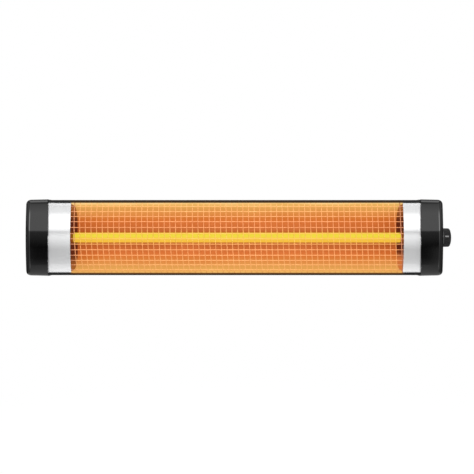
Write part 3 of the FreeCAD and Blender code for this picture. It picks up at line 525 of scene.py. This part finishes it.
# Painted glow: the front's dark orange base colour stands in for the tube's light on bright sheet. The back
# keeps plain metal grey.
glow_tinted_base = patches.blend((0.14, 0.060, 0.022, 1), (0.20, 0.085, 0.035, 1))
cover(flow, surface(flow, {
    "Base Color": inner.blend(grey(0.72), glow_tinted_base), "Metallic": 1.0,
    "Roughness": uneven(0.50, 0.2, lines), "Emission Color": inner.blend(grey(0.0), glow),
    "Emission Strength": 1.0, "Normal": bumped(flow, lines, 0.00005, 0.15)}))
finishes["reflector_bright"] = material
print("trough glow in", len(GLOW_STOPS), "steps")

# %% [markdown]
# The plates at the trough's ends stay in shadow and are dark. Their dull red is painted glow, written as
# emission, and it turns warmer where the tube passes them. Near the lips it becomes painted brown light
# where the trough's light falls on them, and on the foot of the right one it is painted orange light. One
# colour all over would look like a flat wall, so the painted glow follows the height.

# %% Dark end plates with painted glow
CATCHES_LIGHT = (0.035, 0.068)
TUBE_GLOW_BAND = (0.016, 0.007)
LIT_FOOT, RIGHT_PLATE = (-0.028, -0.052), (0.0, 0.1)

material, flow = new_finish("end_plate_painted_glow")
scorch = noise(flow, 90.0, 4.0)
height = place_on(flow, "Z")
# Painted light: the emission colours below are painted glow from the tube and trough. They are not the
# plates' own colour.
plate_glow = scorch.blend(paint(38, 4, 6), paint(66, 12, 10))
plate_glow = abs(height).step(*TUBE_GLOW_BAND).blend(plate_glow, paint(112, 38, 4))
plate_glow = abs(height).step(*CATCHES_LIGHT).blend(plate_glow, paint(140, 76, 32))
lit_foot = height.step(*LIT_FOOT) * place_on(flow, "X").step(*RIGHT_PLATE)
cover(flow, surface(flow, {
    "Base Color": scorch.blend((0.010, 0.003, 0.003, 1), (0.035, 0.010, 0.007, 1)), "Metallic": 0.6,
    "Roughness": uneven(0.45, 0.3, scorch), "Specular IOR Level": 0.12,
    "Emission Color": lit_foot.blend(plate_glow, paint(192, 104, 52)), "Emission Strength": 1.0,
    "Normal": bumped(flow, scorch, 0.0003, 0.2)}))
finishes["end_plate_dark"] = material
print("end plates: dull red")

# %% [markdown]
# The lit tube is milky quartz. Its upper half burns lemon yellow and its lower half a warmer yellow,
# because the element lies a little high in it. Two halves with a finish each would meet in a line, so
# one finish has a soft step over a few millimetres of height.

# %% Lit quartz
YELLOW_STEP = (-0.0030, 0.0025)
MILK_STRETCH, MILK_STRAY = (0.3, 1.0, 1.0), 0.004

material, flow = new_finish("lit_milky_quartz")
milk = noise(flow, 40.0, 3.0, MILK_STRETCH)
upper = (place_on(flow, "Z") + MILK_STRAY * (milk - 0.5)).step(*YELLOW_STEP)
cover(flow, surface(flow, {
    "Base Color": milk.blend((0.10, 0.07, 0.02, 1), (0.16, 0.11, 0.03, 1)),
    "Roughness": 0.25 + 0.1 * milk, "Specular IOR Level": 0.10,
    "Emission Color": upper.blend(paint(243, 192, 58), paint(236, 217, 50)), "Emission Strength": 0.86,
    "Normal": bumped(flow, milk, 0.0003, 0.2)}))
finishes["quartz"] = material
print("tube: two warm yellows")

# %% [markdown]
# The grille is drawn steel wire, browned by the heat to a pale copper. Drawing leaves fine lines along
# a wire, and the heat leaves broad patches of tint. Over the trough the wires also catch its light:
# more below the tube and near the lips, most at the upper lip, and yellow before the tube. Past the
# trough's ends they are darker. Traced light would be noisy here as well, so it is written as emission
# that follows the height.

# %% Grille wire
DARK_END, LIT_FROM = -4.0, -16.0
BELOW_TUBE, BEFORE_TUBE = (-0.012, -0.030), (0.020, 0.007)
NEAR_LIP, UPPER_LIP = (0.030, 0.070), (0.068, 0.076)

material, flow = new_finish("heat_tinted_wire")
tint = noise(flow, 35.0, 3.0)
drawn = noise(flow, 2500.0, 2.0)
height = place_on(flow, "Z")
shine = tint.blend(paint(164, 84, 38), paint(178, 98, 47))
shine = height.step(*BELOW_TUBE).blend(shine, paint(195, 124, 69))
shine = abs(height).step(*NEAR_LIP).blend(shine, paint(198, 143, 75))
shine = height.step(*UPPER_LIP).blend(shine, paint(234, 184, 110))
shine = abs(height).step(*BEFORE_TUBE).blend(shine, paint(183, 156, 24))
shine = within_opening(flow, DARK_END, LIT_FROM).blend(paint(127, 72, 61), shine)
cover(flow, surface(flow, {
    "Base Color": tint.blend((0.38, 0.19, 0.095, 1), (0.48, 0.25, 0.125, 1)), "Metallic": 1.0,
    "Roughness": uneven(0.38, 0.2, drawn), "Emission Color": shine, "Emission Strength": 1.0,
    "Normal": bumped(flow, drawn, 0.00003, 0.2)}))
finishes["grille_wire"] = material
print("wire: tinted steel")

# %% [markdown]
# Each CAD node already has the right shape for most pieces, so it keeps its mesh and only gets its
# finish. A list of names written here could do that, but the record already says which finish slot a
# node belongs to.

# %% Dress the CAD nodes
slot_of = {row["node"]: row["material_slot"] for row in frame["record"]["subparts"]}
for name, node in frame["nodes"].items():
    node.data.materials.clear()
    node.data.materials.append(finishes[slot_of[name]])
print("dressed", len(slot_of), "nodes in", len(set(slot_of.values())), "finishes")

# %% [markdown]
# New pieces are skins over rings of points, like a loft in CAD. Rings follow a path or a profile,
# neighbours are joined by quads, and open ends close with a fan. Curves with a bevel could make the
# wires, and modifiers the caps, but rings put every point where the frame says and give clean closed
# meshes.

# %% Skins over rings
def skin(bm, rings):
    """Joins rings of equally many points, in millimetres, by quads and closes both ends with fans."""
    laid = [[bm.verts.new(Vector(point) * MM) for point in ring] for ring in rings]
    for ring, following in zip(laid, laid[1:]):
        for index in range(len(ring)):
            after = (index + 1) % len(ring)
            bm.faces.new((ring[index], ring[after], following[after], following[index]))
    for ring in (laid[0], laid[-1]):
        middle = bm.verts.new(sum((v.co for v in ring), Vector()) / len(ring))
        for index, vert in enumerate(ring):
            bm.faces.new((vert, ring[(index + 1) % len(ring)], middle))


def piece(name, bm, finish, body, sharp_from):
    """Turns a skin into an object with its finish, smooth but for its sharp edges, that rides on a body."""
    bmesh.ops.recalc_face_normals(bm, faces=bm.faces[:])
    mesh = bpy.data.meshes.new(name)
    bm.to_mesh(mesh)
    bm.free()
    mesh.polygons.foreach_set("use_smooth", [True] * len(mesh.polygons))
    mesh.set_sharp_from_angle(angle=math.radians(sharp_from))
    mesh.materials.append(finishes[finish])
    made = bpy.data.objects.new(name, mesh)
    bpy.context.scene.collection.objects.link(made)
    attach(made, body)
    print(name, len(mesh.vertices), "points")
    return made


print("rings can be skinned")

# %% [markdown]
# The grille's upright wires are round, thin and bowed. The CAD model keeps them square with few faces,
# so here they are swept again, each along the bow of the front. On the real grille they lean a little,
# as welded mesh seldom is true. An array modifier could repeat one wire, but a loop shows where each of
# them stands.

# %% Upright grille wires
BOW_CENTRE = 116.0
WIRE_SIDES, WIRE_SHARP = 8, 60.0
CROSS_WIRE = 1.0
CROSS_RADIUS = 271.35
CROSS_HALF_HEIGHT = 79.0
CROSS_STEPS = 20
CROSS_COUNT = 59
CROSS_PITCH = 12.5
CROSS_MIDDLE = sum(span("grille_cross_wires", 0)) / 2
LEAN, LEAN_BOW = -0.0426, 0.00036


def on_bow(x, radius, angle):
    """A point on an arc about the front's centre line, at an angle up from the middle."""
    return Vector((x, BOW_CENTRE - radius * math.cos(angle), radius * math.sin(angle)))


def off_bow(angle):
    """The direction straight out of the bow at an angle."""
    return Vector((0, -math.cos(angle), math.sin(angle)))


def circle_round(middle, across, up, radius, sides):
    """A ring of points round a middle, in the plane of two directions."""
    turns = steps(0, TURN, sides)
    return [middle + (across * math.cos(a) + up * math.sin(a)) * radius for a in turns]


reach = math.asin(CROSS_HALF_HEIGHT / CROSS_RADIUS)
along_heater = Vector((1, 0, 0))
bm = bmesh.new()
for index in range(CROSS_COUNT):
    x = CROSS_MIDDLE + CROSS_PITCH * (index - (CROSS_COUNT - 1) / 2)
    rings = []
    for step in range(CROSS_STEPS + 1):
        angle = reach * (2 * step / CROSS_STEPS - 1)
        z = CROSS_RADIUS * math.sin(angle)
        middle = on_bow(x + LEAN * z + LEAN_BOW * z * z, CROSS_RADIUS, angle)
        rings.append(circle_round(middle, along_heater, off_bow(angle), CROSS_WIRE, WIRE_SIDES))
    skin(bm, rings)
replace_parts(piece("grille_upright_wires", bm, "grille_wire", "heater", WIRE_SHARP), "grille_cross_wires")

# %% [markdown]
# The level wires lie on the upright ones and run straight from end to end. They aren't quite evenly
# spaced, so each has its own small stray along the bow. A straight round bar is needed again for the
# lips, so it is a function.

# %% Level grille wires
LONG_WIRE = 0.86
LONG_RADIUS = 273.0
LONG_PITCH = 11.95
LONG_INSET = 0.6
LONG_STRAY = (-0.9, -1.3, -3.1, -3.5, -3.2, -2.7, -2.7, -3.1, -1.6, -0.6, -0.9, -1.6, -1.9)


def level_bar(bm, ends, bow, angle, radius, sides):
    """A straight round bar between two places along the heater, at an angle up a bow."""
    along_bow = Vector((0, math.sin(angle), math.cos(angle)))
    middles = [on_bow(x, bow, angle) for x in ends]
    skin(bm, [circle_round(middle, along_bow, off_bow(angle), radius, sides) for middle in middles])


long_from, long_to = span("grille_long_wires", 0)
long_ends = (long_from + LONG_INSET, long_to - LONG_INSET)
bm = bmesh.new()
for index, stray in enumerate(LONG_STRAY):
    angle = ((index - (len(LONG_STRAY) - 1) / 2) * LONG_PITCH + stray) / LONG_RADIUS
    level_bar(bm, long_ends, LONG_RADIUS, angle, LONG_WIRE, WIRE_SIDES)
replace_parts(piece("grille_level_wires", bm, "grille_wire", "heater", WIRE_SHARP), "grille_long_wires")

# %% [markdown]
# The lips along the opening end in a rolled edge, which hides the cut of the sheet and rounds it for
# the hand. A bevel on the housing would need more faces there, so it is a thin bar of its own in the
# thickness of each lip, straight along the heater.

# %% Rolled lip edges
EDGE_RADIUS, EDGE_SIDES = 0.88, 12
EDGE_BOW = 276.1
EDGE_HEIGHTS = (78.3, -79.1)
EDGE_INSET = 1.0
EDGE_END = span("housing_shell", 0)[1] - EDGE_INSET

bm = bmesh.new()
for height in EDGE_HEIGHTS:
    level_bar(bm, (-EDGE_END, EDGE_END), EDGE_BOW, math.asin(height / EDGE_BOW), EDGE_RADIUS, EDGE_SIDES)
piece("rolled_lip_edges", bm, "housing_black", "heater", WIRE_SHARP)

# %% [markdown]
# The caps are deep mouldings that follow the heater's own section: a bowed front, tight front corners
# and wide back ones. A box with a bevel modifier would round every edge alike, so the section is drawn
# as a function instead, with each face pulled in by its own amount, and the cap becomes a skin over
# such sections.

# %% Section of the heater
HOUSING_HALF = span("housing_shell", 2)[1]
HOUSING_BACK = span("housing_shell", 1)[1]
LIP_RADIUS = 277.0
LIP_CORNER = 7.0
BACK_ROUND = 40.0
FRONT_STEPS, CORNER_STEPS, FLAT_STEPS, BACK_STEPS = 12, 12, 4, 14
QUARTER = TURN / 4


def upper_section(front_in, top_in, back_in, corner, flatness):
    """Upper half of the section as (y, z), from the middle of the front to the middle of the back."""
    bow = LIP_RADIUS / (1 - flatness)
    centre = BOW_CENTRE - LIP_RADIUS + front_in + bow
    top = HOUSING_HALF - top_in
    back = HOUSING_BACK - back_in
    back_round = BACK_ROUND - back_in
    corner_z = top - corner
    corner_y = centre - math.sqrt((bow - corner) ** 2 - corner_z**2)
    turn = math.atan2(corner_z, centre - corner_y)
    flat_end = back - back_round
    round_z = top - back_round
    points = []
    for a in steps(0, turn, FRONT_STEPS):
        points.append((centre - bow * math.cos(a), bow * math.sin(a)))
    for a in steps(turn, QUARTER, CORNER_STEPS):
        points.append((corner_y - corner * math.cos(a), corner_z + corner * math.sin(a)))
    for y in steps(corner_y, flat_end, FLAT_STEPS):
        points.append((y, top))
    for a in steps(QUARTER, 0, BACK_STEPS):
        points.append((flat_end + back_round * math.cos(a), round_z + back_round * math.sin(a)))
    return points + [(back, round_z), (back, 0.0)]


def section_ring(x, front_in, top_in, back_in, corner, flatness=0.0):
    """The whole section at x, as a ring of points."""
    upper = upper_section(front_in, top_in, back_in, corner, flatness)
    lower = [(y, -z) for y, z in reversed(upper[1:-1])]
    return [(x, y, z) for y, z in upper + lower]


print("section of", len(section_ring(0, 0, 0, 0, LIP_CORNER)), "points")

# %% [markdown]
# A cap is a cup that slips over the housing's end. Its outer end is rounded like a quarter of an
# ellipse, deep at the front and shallow above, its top and bottom taper a little so that it leaves its
# mould, and its rim curves outwards where the bowed front falls back. One skin runs from the floor of
# the hollow over the rim and round the end, which gives a closed wall with no boolean cuts.

# %% End caps
CAP_RIM, RIM_CURVE, RIM_BOW = 411.7, 3.2, 12.7
CAP_END = span("end_caps", 0)[1]
CAP_BACK = span("end_caps", 1)[1]
CAP_GROWN = 1.7
CAP_DRAFT = 0.9
CAP_CORNER = 11.5
CAP_SHARP = 40.0
END_LONG, END_LEAD = 15.6, 1.0
END_DEEP, END_HIGH, END_BACK = 34.0, 8.5, 8.0
END_FLATNESS, END_CORNER_LOSS = 0.95, 5.5
END_STEPS = 14
END_SHRINK = (0.8, 0.55, 0.3)
RIM_ROUND = 0.6
SKIRT, LAP_END = 1.6, 430.2
WALL, HOLLOW_END = 2.8, 463.5
HOLLOW_SLANT = 13.0


def curved(ring, side):
    """A ring of the rim, whose edge runs further out where the bowed front falls back."""
    front = min(y for _, y, _ in ring)
    return [(x + side * RIM_CURVE * min((y - front) / RIM_BOW, 1), y, z) for x, y, z in ring]


def cup_rings(side):
    """Rings of a cap's hollow and rim, from the floor of the hollow outwards."""
    def even(x, inset, corner):
        return section_ring(side * x, inset, inset, inset, corner)

    hollow = WALL - CAP_GROWN
    lap = SKIRT - CAP_GROWN
    return [
        section_ring(side * HOLLOW_END, END_DEEP / 2, END_HIGH, END_BACK + hollow, CAP_CORNER),
        even(HOLLOW_END - HOLLOW_SLANT, hollow, CAP_CORNER - WALL),
        even(LAP_END, hollow, CAP_CORNER - WALL),
        even(LAP_END, lap, LIP_CORNER - lap),
        curved(even(CAP_RIM, lap, LIP_CORNER - lap), side),
        curved(even(CAP_RIM, RIM_ROUND - CAP_GROWN, CAP_CORNER - RIM_ROUND), side),
        curved(even(CAP_RIM + RIM_ROUND, -CAP_GROWN, CAP_CORNER), side),
    ]


def end_rings(side):
    """Rings of a cap's outside, from behind the rim round to the middle of its end."""
    rings = []
    start = CAP_END - END_LONG
    for x in (CAP_RIM + 2 * RIM_CURVE, start - END_LEAD):
        draft = CAP_DRAFT * (x - CAP_RIM) / (start - CAP_RIM)
        rings.append(section_ring(side * x, -CAP_GROWN, draft - CAP_GROWN, -CAP_GROWN, CAP_CORNER))
    for step in range(END_STEPS + 1):
        a = QUARTER * step / END_STEPS
        x = CAP_END - END_LONG * (1 - math.sin(a))
        pull = 1 - math.cos(a)
        front_in = END_DEEP * pull - CAP_GROWN
        top_in = END_HIGH * pull + CAP_DRAFT - CAP_GROWN
        back_in = END_BACK * pull - CAP_GROWN
        corner = CAP_CORNER - END_CORNER_LOSS * pull
        rings.append(section_ring(side * x, front_in, top_in, back_in, corner, END_FLATNESS * pull))
    edge = [Vector(point) for point in rings[-1]]
    heart = sum(edge, Vector()) / len(edge)
    return rings + [[heart + (point - heart) * shrink for point in edge] for shrink in END_SHRINK]


bm = bmesh.new()
for side in (-1, 1):
    skin(bm, cup_rings(side) + end_rings(side))
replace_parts(piece("moulded_end_caps", bm, "cap_black", "heater", CAP_SHARP), "end_caps")

# %% [markdown]
# The knob is a small turned and fluted moulding on a plain grey collar. Its outline is a circle whose
# radius dips in every flute, so the rings are drawn with that dip, and the flutes fade towards the
# collar and the rounded end. A boolean cut for each flute could do the same, but it would leave a
# ragged mesh.

# %% Fluted knob
KNOB_FROM, KNOB_TO = span("control_knob", 0)
KNOB_LONG = KNOB_TO - KNOB_FROM
KNOB_Y = sum(span("control_knob", 1)) / 2
KNOB_RADIUS = span("control_knob", 2)[1]
KNOB_SHARP = 50.0
KNOB_FLUTES, POINTS_PER_FLUTE = 36, 8
FLUTE_DEEP, FLUTE_FULLNESS = 0.9, 0.7
COLLAR_PROUD, GRIP_PROUD, GRIP_TAPER = 0.3, 0.4, 0.3
COLLAR = KNOB_RADIUS + COLLAR_PROUD
COLLAR_LONG, COLLAR_CHAMFER = 2.8, 0.4
COLLAR_BACK_IN, COLLAR_FACE_IN = 1.0, 2.0
GRIP = KNOB_RADIUS + GRIP_PROUD
ROOT_LONG, ROOT_IN = 1.0, 2.0
FLUTE_START, FLUTE_FULL = 0.3, 0.9
START_IN, START_SHALLOW = 0.4, 0.2
END_ROUND, END_ROUND_STEPS = 2.4, 6
DISH_RADIUS, DISH_DEEP, DISH_SLOPE = 14.0, 0.5, 1.0


def collar_profile():
    """Rows of (place along the knob, radius, depth of the flutes) for the plain collar."""
    return [(0, COLLAR - COLLAR_BACK_IN, 0), (0, COLLAR - COLLAR_CHAMFER, 0), (COLLAR_CHAMFER, COLLAR, 0),
            (COLLAR_LONG - COLLAR_CHAMFER, COLLAR, 0), (COLLAR_LONG, COLLAR - COLLAR_CHAMFER, 0),
            (COLLAR_LONG, COLLAR - COLLAR_FACE_IN, 0)]


def knob_profile():
    """Rows of the same kind for the grip, from the collar to the dished end."""
    rows = [(COLLAR_LONG - ROOT_LONG, GRIP - ROOT_IN, 0), (COLLAR_LONG, GRIP - FLUTE_DEEP, 0),
            (COLLAR_LONG + FLUTE_START, GRIP - START_IN, FLUTE_DEEP - START_SHALLOW),
            (COLLAR_LONG + FLUTE_FULL, GRIP, FLUTE_DEEP)]
    end = GRIP - GRIP_TAPER
    for a in steps(0, QUARTER, END_ROUND_STEPS):
        along = KNOB_LONG - END_ROUND * (1 - math.sin(a))
        rows.append((along, end - END_ROUND * (1 - math.cos(a)), FLUTE_DEEP * math.cos(a)))
    dish = KNOB_LONG - DISH_DEEP
    return rows + [(KNOB_LONG, end - END_ROUND, 0), (KNOB_LONG, DISH_RADIUS + DISH_SLOPE, 0),
                   (dish, DISH_RADIUS, 0), (dish, DISH_RADIUS / 2, 0)]


def on_knob(along, radius, angle):
    """A point of the knob, at an angle up from its front."""
    return (KNOB_FROM + along, KNOB_Y - radius * math.cos(angle), radius * math.sin(angle))


def knob_ring(along, radius, dip):
    """One ring of the knob, with flutes of the given depth."""
    ring = []
    for a in steps(0, TURN, KNOB_FLUTES * POINTS_PER_FLUTE):
        r = radius - dip * (0.5 - 0.5 * math.cos(KNOB_FLUTES * a)) ** FLUTE_FULLNESS
        ring.append(on_knob(along, r, a))
    return ring


bm = bmesh.new()
skin(bm, [knob_ring(*row) for row in knob_profile()])
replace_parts(piece("fluted_knob", bm, "knob_black", "knob", KNOB_SHARP), "control_knob")

bm = bmesh.new()
skin(bm, [knob_ring(*row) for row in collar_profile()])
piece("knob_collar", bm, "collar_grey", "knob", KNOB_SHARP)

# %% [markdown]
# A pale raised line on the knob's flank shows its setting. A printed line would be a change of colour
# alone, but the real one stands a little proud, so it is a thin bar of its own with rounded ends, just
# above the crests.

# %% Pointer line
LINE_FROM, LINE_TO = 4.4, 13.6
LINE_HALF_WIDTH, LINE_TIP = 1.7, 0.2
LINE_PROUD, LINE_SINK, LINE_EDGE = 0.5, 1.4, 0.3
LINE_CREST = KNOB_RADIUS + LINE_PROUD
LINE_TURN = math.radians(7.3)
LINE_STEPS = 12


def line_ring(along):
    """One ring of the pointer line, narrower near its ends."""
    from_end = min(along - LINE_FROM, LINE_TO - along, LINE_HALF_WIDTH)
    half = math.sqrt(max(LINE_HALF_WIDTH**2 - (LINE_HALF_WIDTH - from_end) ** 2, LINE_TIP**2))
    outline = ((LINE_CREST - LINE_SINK, -half), (LINE_CREST - LINE_EDGE, -half), (LINE_CREST, -half / 2),
               (LINE_CREST, half / 2), (LINE_CREST - LINE_EDGE, half), (LINE_CREST - LINE_SINK, half))
    return [on_knob(along, radius, LINE_TURN + across / KNOB_RADIUS) for radius, across in outline]


bm = bmesh.new()
skin(bm, [line_ring(along) for along in steps(LINE_FROM, LINE_TO, LINE_STEPS) + [LINE_TO]])
piece("knob_pointer_line", bm, "pointer_print", "knob", KNOB_SHARP)

# %% [markdown]
# The mains inlet is a nylon gland in the back of the right cap: a hexagon that seats on the cap, a
# ribbed dome nut and a rubber bush in its mouth. They could be three primitives with booleans, but
# turned parts with ribs are rings whose radius changes with the angle, so hexagon, ribs and circle are
# small functions and the gland is one skin over them, down into its bore.

# %% Cable gland
GLAND_LEFT, GLAND_RIGHT = span("cable_gland", 0)
GLAND_X = (GLAND_LEFT + GLAND_RIGHT) / 2
GLAND_Z = sum(span("cable_gland", 2)) / 2
GLAND_INNER, GLAND_OUTER = span("cable_gland", 1)
SEAT_GAP = 0.05
GLAND_SEAT = CAP_BACK + SEAT_GAP
GLAND_SIDES, GLAND_SHARP = 96, 40.0
THREAD_RADIUS, NECK_RADIUS, NECK_LONG = 7.4, 8.8, 0.8
HEX_FLAT, HEX_LONG = (GLAND_RIGHT - GLAND_LEFT) / 2, 4.0
HEX_POINT, HEX_FOOT_POINT, HEX_TOP_POINT = 12.0, 11.2, 11.0
HEX_FOOT_LONG, HEX_TOP_LONG = 0.5, 0.6
GLAND_RIBS, RIB_DEEP = 16, 0.7
NUT_RADIUS, NUT_END_RADIUS = 10.3, 10.1
NUT_EDGE_RADIUS, NUT_EDGE_RIB, NUT_EDGE_LONG = 9.8, 0.4, 0.4
DOME_RADIUS, DOME_ROUND, DOME_STEPS, DOME_LEAD = 9.4, 2.6, 5, 0.6
MOUTH_RADIUS, MOUTH_CHAMFER = 6.5, 0.5
BUSH_RADIUS, BUSH_BORE, BUSH_GAP = 5.8, 4.0, 0.1
BORE_FLOOR = 1.0


def hexagon(limit):
    """Radius of the hexagon at an angle, with its points cut back to a limit."""
    def radius(a):
        off_flat = a - TURN / 6 * round(a / (TURN / 6))
        return min(HEX_FLAT / math.cos(off_flat), limit)
    return radius


def ribbed(size, dip):
    """Radius of a ribbed nut at an angle."""
    def radius(a):
        return size - dip * (0.5 - 0.5 * math.cos(GLAND_RIBS * a))
    return radius


def gland_ring(y, radius):
    """One ring round the gland's axis, with one radius or a radius for every angle."""
    ring = []
    for a in steps(0, TURN, GLAND_SIDES):
        r = radius(a) if callable(radius) else radius
        ring.append((GLAND_X + r * math.cos(a), y, GLAND_Z + r * math.sin(a)))
    return ring


hex_top = GLAND_SEAT + HEX_LONG
nut_from = hex_top + NECK_LONG
dome_from = GLAND_OUTER - DOME_ROUND
bore = BUSH_RADIUS + BUSH_GAP
rows = [
    (GLAND_INNER, THREAD_RADIUS), (GLAND_SEAT, THREAD_RADIUS), (GLAND_SEAT, hexagon(HEX_FOOT_POINT)),
    (GLAND_SEAT + HEX_FOOT_LONG, hexagon(HEX_POINT)), (hex_top - HEX_TOP_LONG, hexagon(HEX_POINT)),
    (hex_top, hexagon(HEX_TOP_POINT)), (hex_top, NECK_RADIUS), (nut_from, NECK_RADIUS),
    (nut_from, ribbed(NUT_EDGE_RADIUS, NUT_EDGE_RIB)),
    (nut_from + NUT_EDGE_LONG, ribbed(NUT_RADIUS, RIB_DEEP)),
    (dome_from - DOME_LEAD, ribbed(NUT_END_RADIUS, RIB_DEEP)),
]
for a in steps(0, QUARTER, DOME_STEPS):
    rows.append((dome_from + DOME_ROUND * math.sin(a), DOME_RADIUS - DOME_ROUND * (1 - math.cos(a))))
rows += [(GLAND_OUTER, MOUTH_RADIUS), (GLAND_OUTER - MOUTH_CHAMFER, bore), (GLAND_INNER + BORE_FLOOR, bore)]
bm = bmesh.new()
skin(bm, [gland_ring(*row) for row in rows])
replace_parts(piece("ribbed_cable_gland", bm, "gland_black", "heater", GLAND_SHARP), "cable_gland")

# %% [markdown]
# The rubber bush grips the cord. It is a short sleeve with soft edges that ends just inside the gland's
# mouth. A torus would give soft edges too, but no straight bore.

# %% Rubber bush
BUSH_SUNK = 0.4
BUSH_EDGE, BUSH_EDGE_LONG = 0.5, 0.6

bush_end = GLAND_OUTER - BUSH_SUNK
rows = [(GLAND_SEAT, BUSH_RADIUS), (bush_end - BUSH_EDGE_LONG, BUSH_RADIUS),
        (bush_end, BUSH_RADIUS - BUSH_EDGE), (bush_end, BUSH_BORE + BUSH_EDGE),
        (bush_end - BUSH_EDGE, BUSH_BORE), (GLAND_SEAT + BORE_FLOOR, BUSH_BORE)]
bm = bmesh.new()
skin(bm, [gland_ring(*row) for row in rows])
piece("gland_rubber_bush", bm, "washer_dark", "heater", GLAND_SHARP)

# %% [markdown]
# Small screws hold the caps and the hinge bracket at the back. Each is a pan head with a cross recess.
# A cross cut by a boolean would leave long thin faces, so each head is a skin from the seat over the
# dome and down into the cross, whose outline is worked out as a radius for every angle.

# %% Pan-head screws
SCREW_SIDES, SCREW_SHARP = 48, 35.0
SCREW_PROFILE = ((-0.3, 3.8), (0.9, 3.8), (1.6, 3.4), (2.1, 2.7), (2.3, 2.3))
CROWN_RISE = 0.05
SCREW_CROWN = SCREW_PROFILE[-1][0] + CROWN_RISE
CROSS_LONG, CROSS_WIDE, CROSS_DEEP, CROSS_TAPER = 2.0, 0.45, 1.3, 0.8
CROSS_ROWS = ((SCREW_CROWN, 1.0), (SCREW_CROWN - CROSS_DEEP, CROSS_TAPER))
LEAST = 1e-6
HINGE_SHEET = 2.5
CAP_SCREW_X, CAP_SCREW_Z = 421.0, 30.0
HINGE_SCREW_X, HINGE_SCREW_Z = 38.0, 13.0
SCREWS = [(x, CAP_BACK, z) for x in (-CAP_SCREW_X, CAP_SCREW_X) for z in (-CAP_SCREW_Z, CAP_SCREW_Z)]
for x in (-HINGE_SCREW_X, HINGE_SCREW_X):
    SCREWS += [(x, HOUSING_BACK + HINGE_SHEET, z) for z in (-HINGE_SCREW_Z, HINGE_SCREW_Z)]


def cross_radius(angle):
    """Radius of the cross recess at an angle."""
    c = max(abs(math.cos(angle)), LEAST)
    s = max(abs(math.sin(angle)), LEAST)
    return max(min(CROSS_LONG / c, CROSS_WIDE / s), min(CROSS_WIDE / c, CROSS_LONG / s))


bm = bmesh.new()
turns = steps(0, TURN, SCREW_SIDES)
for x, seat, z in SCREWS:
    rings = []
    for height, radius in SCREW_PROFILE:
        rings.append([(x + radius * math.cos(a), seat + height, z + radius * math.sin(a)) for a in turns])
    for height, share in CROSS_ROWS:
        cross = [(a, share * cross_radius(a)) for a in turns]
        rings.append([(x + r * math.cos(a), seat + height, z + r * math.sin(a)) for a, r in cross])
    skin(bm, rings)
piece("pan_head_screws", bm, "zinc_steel", "heater", SCREW_SHARP)
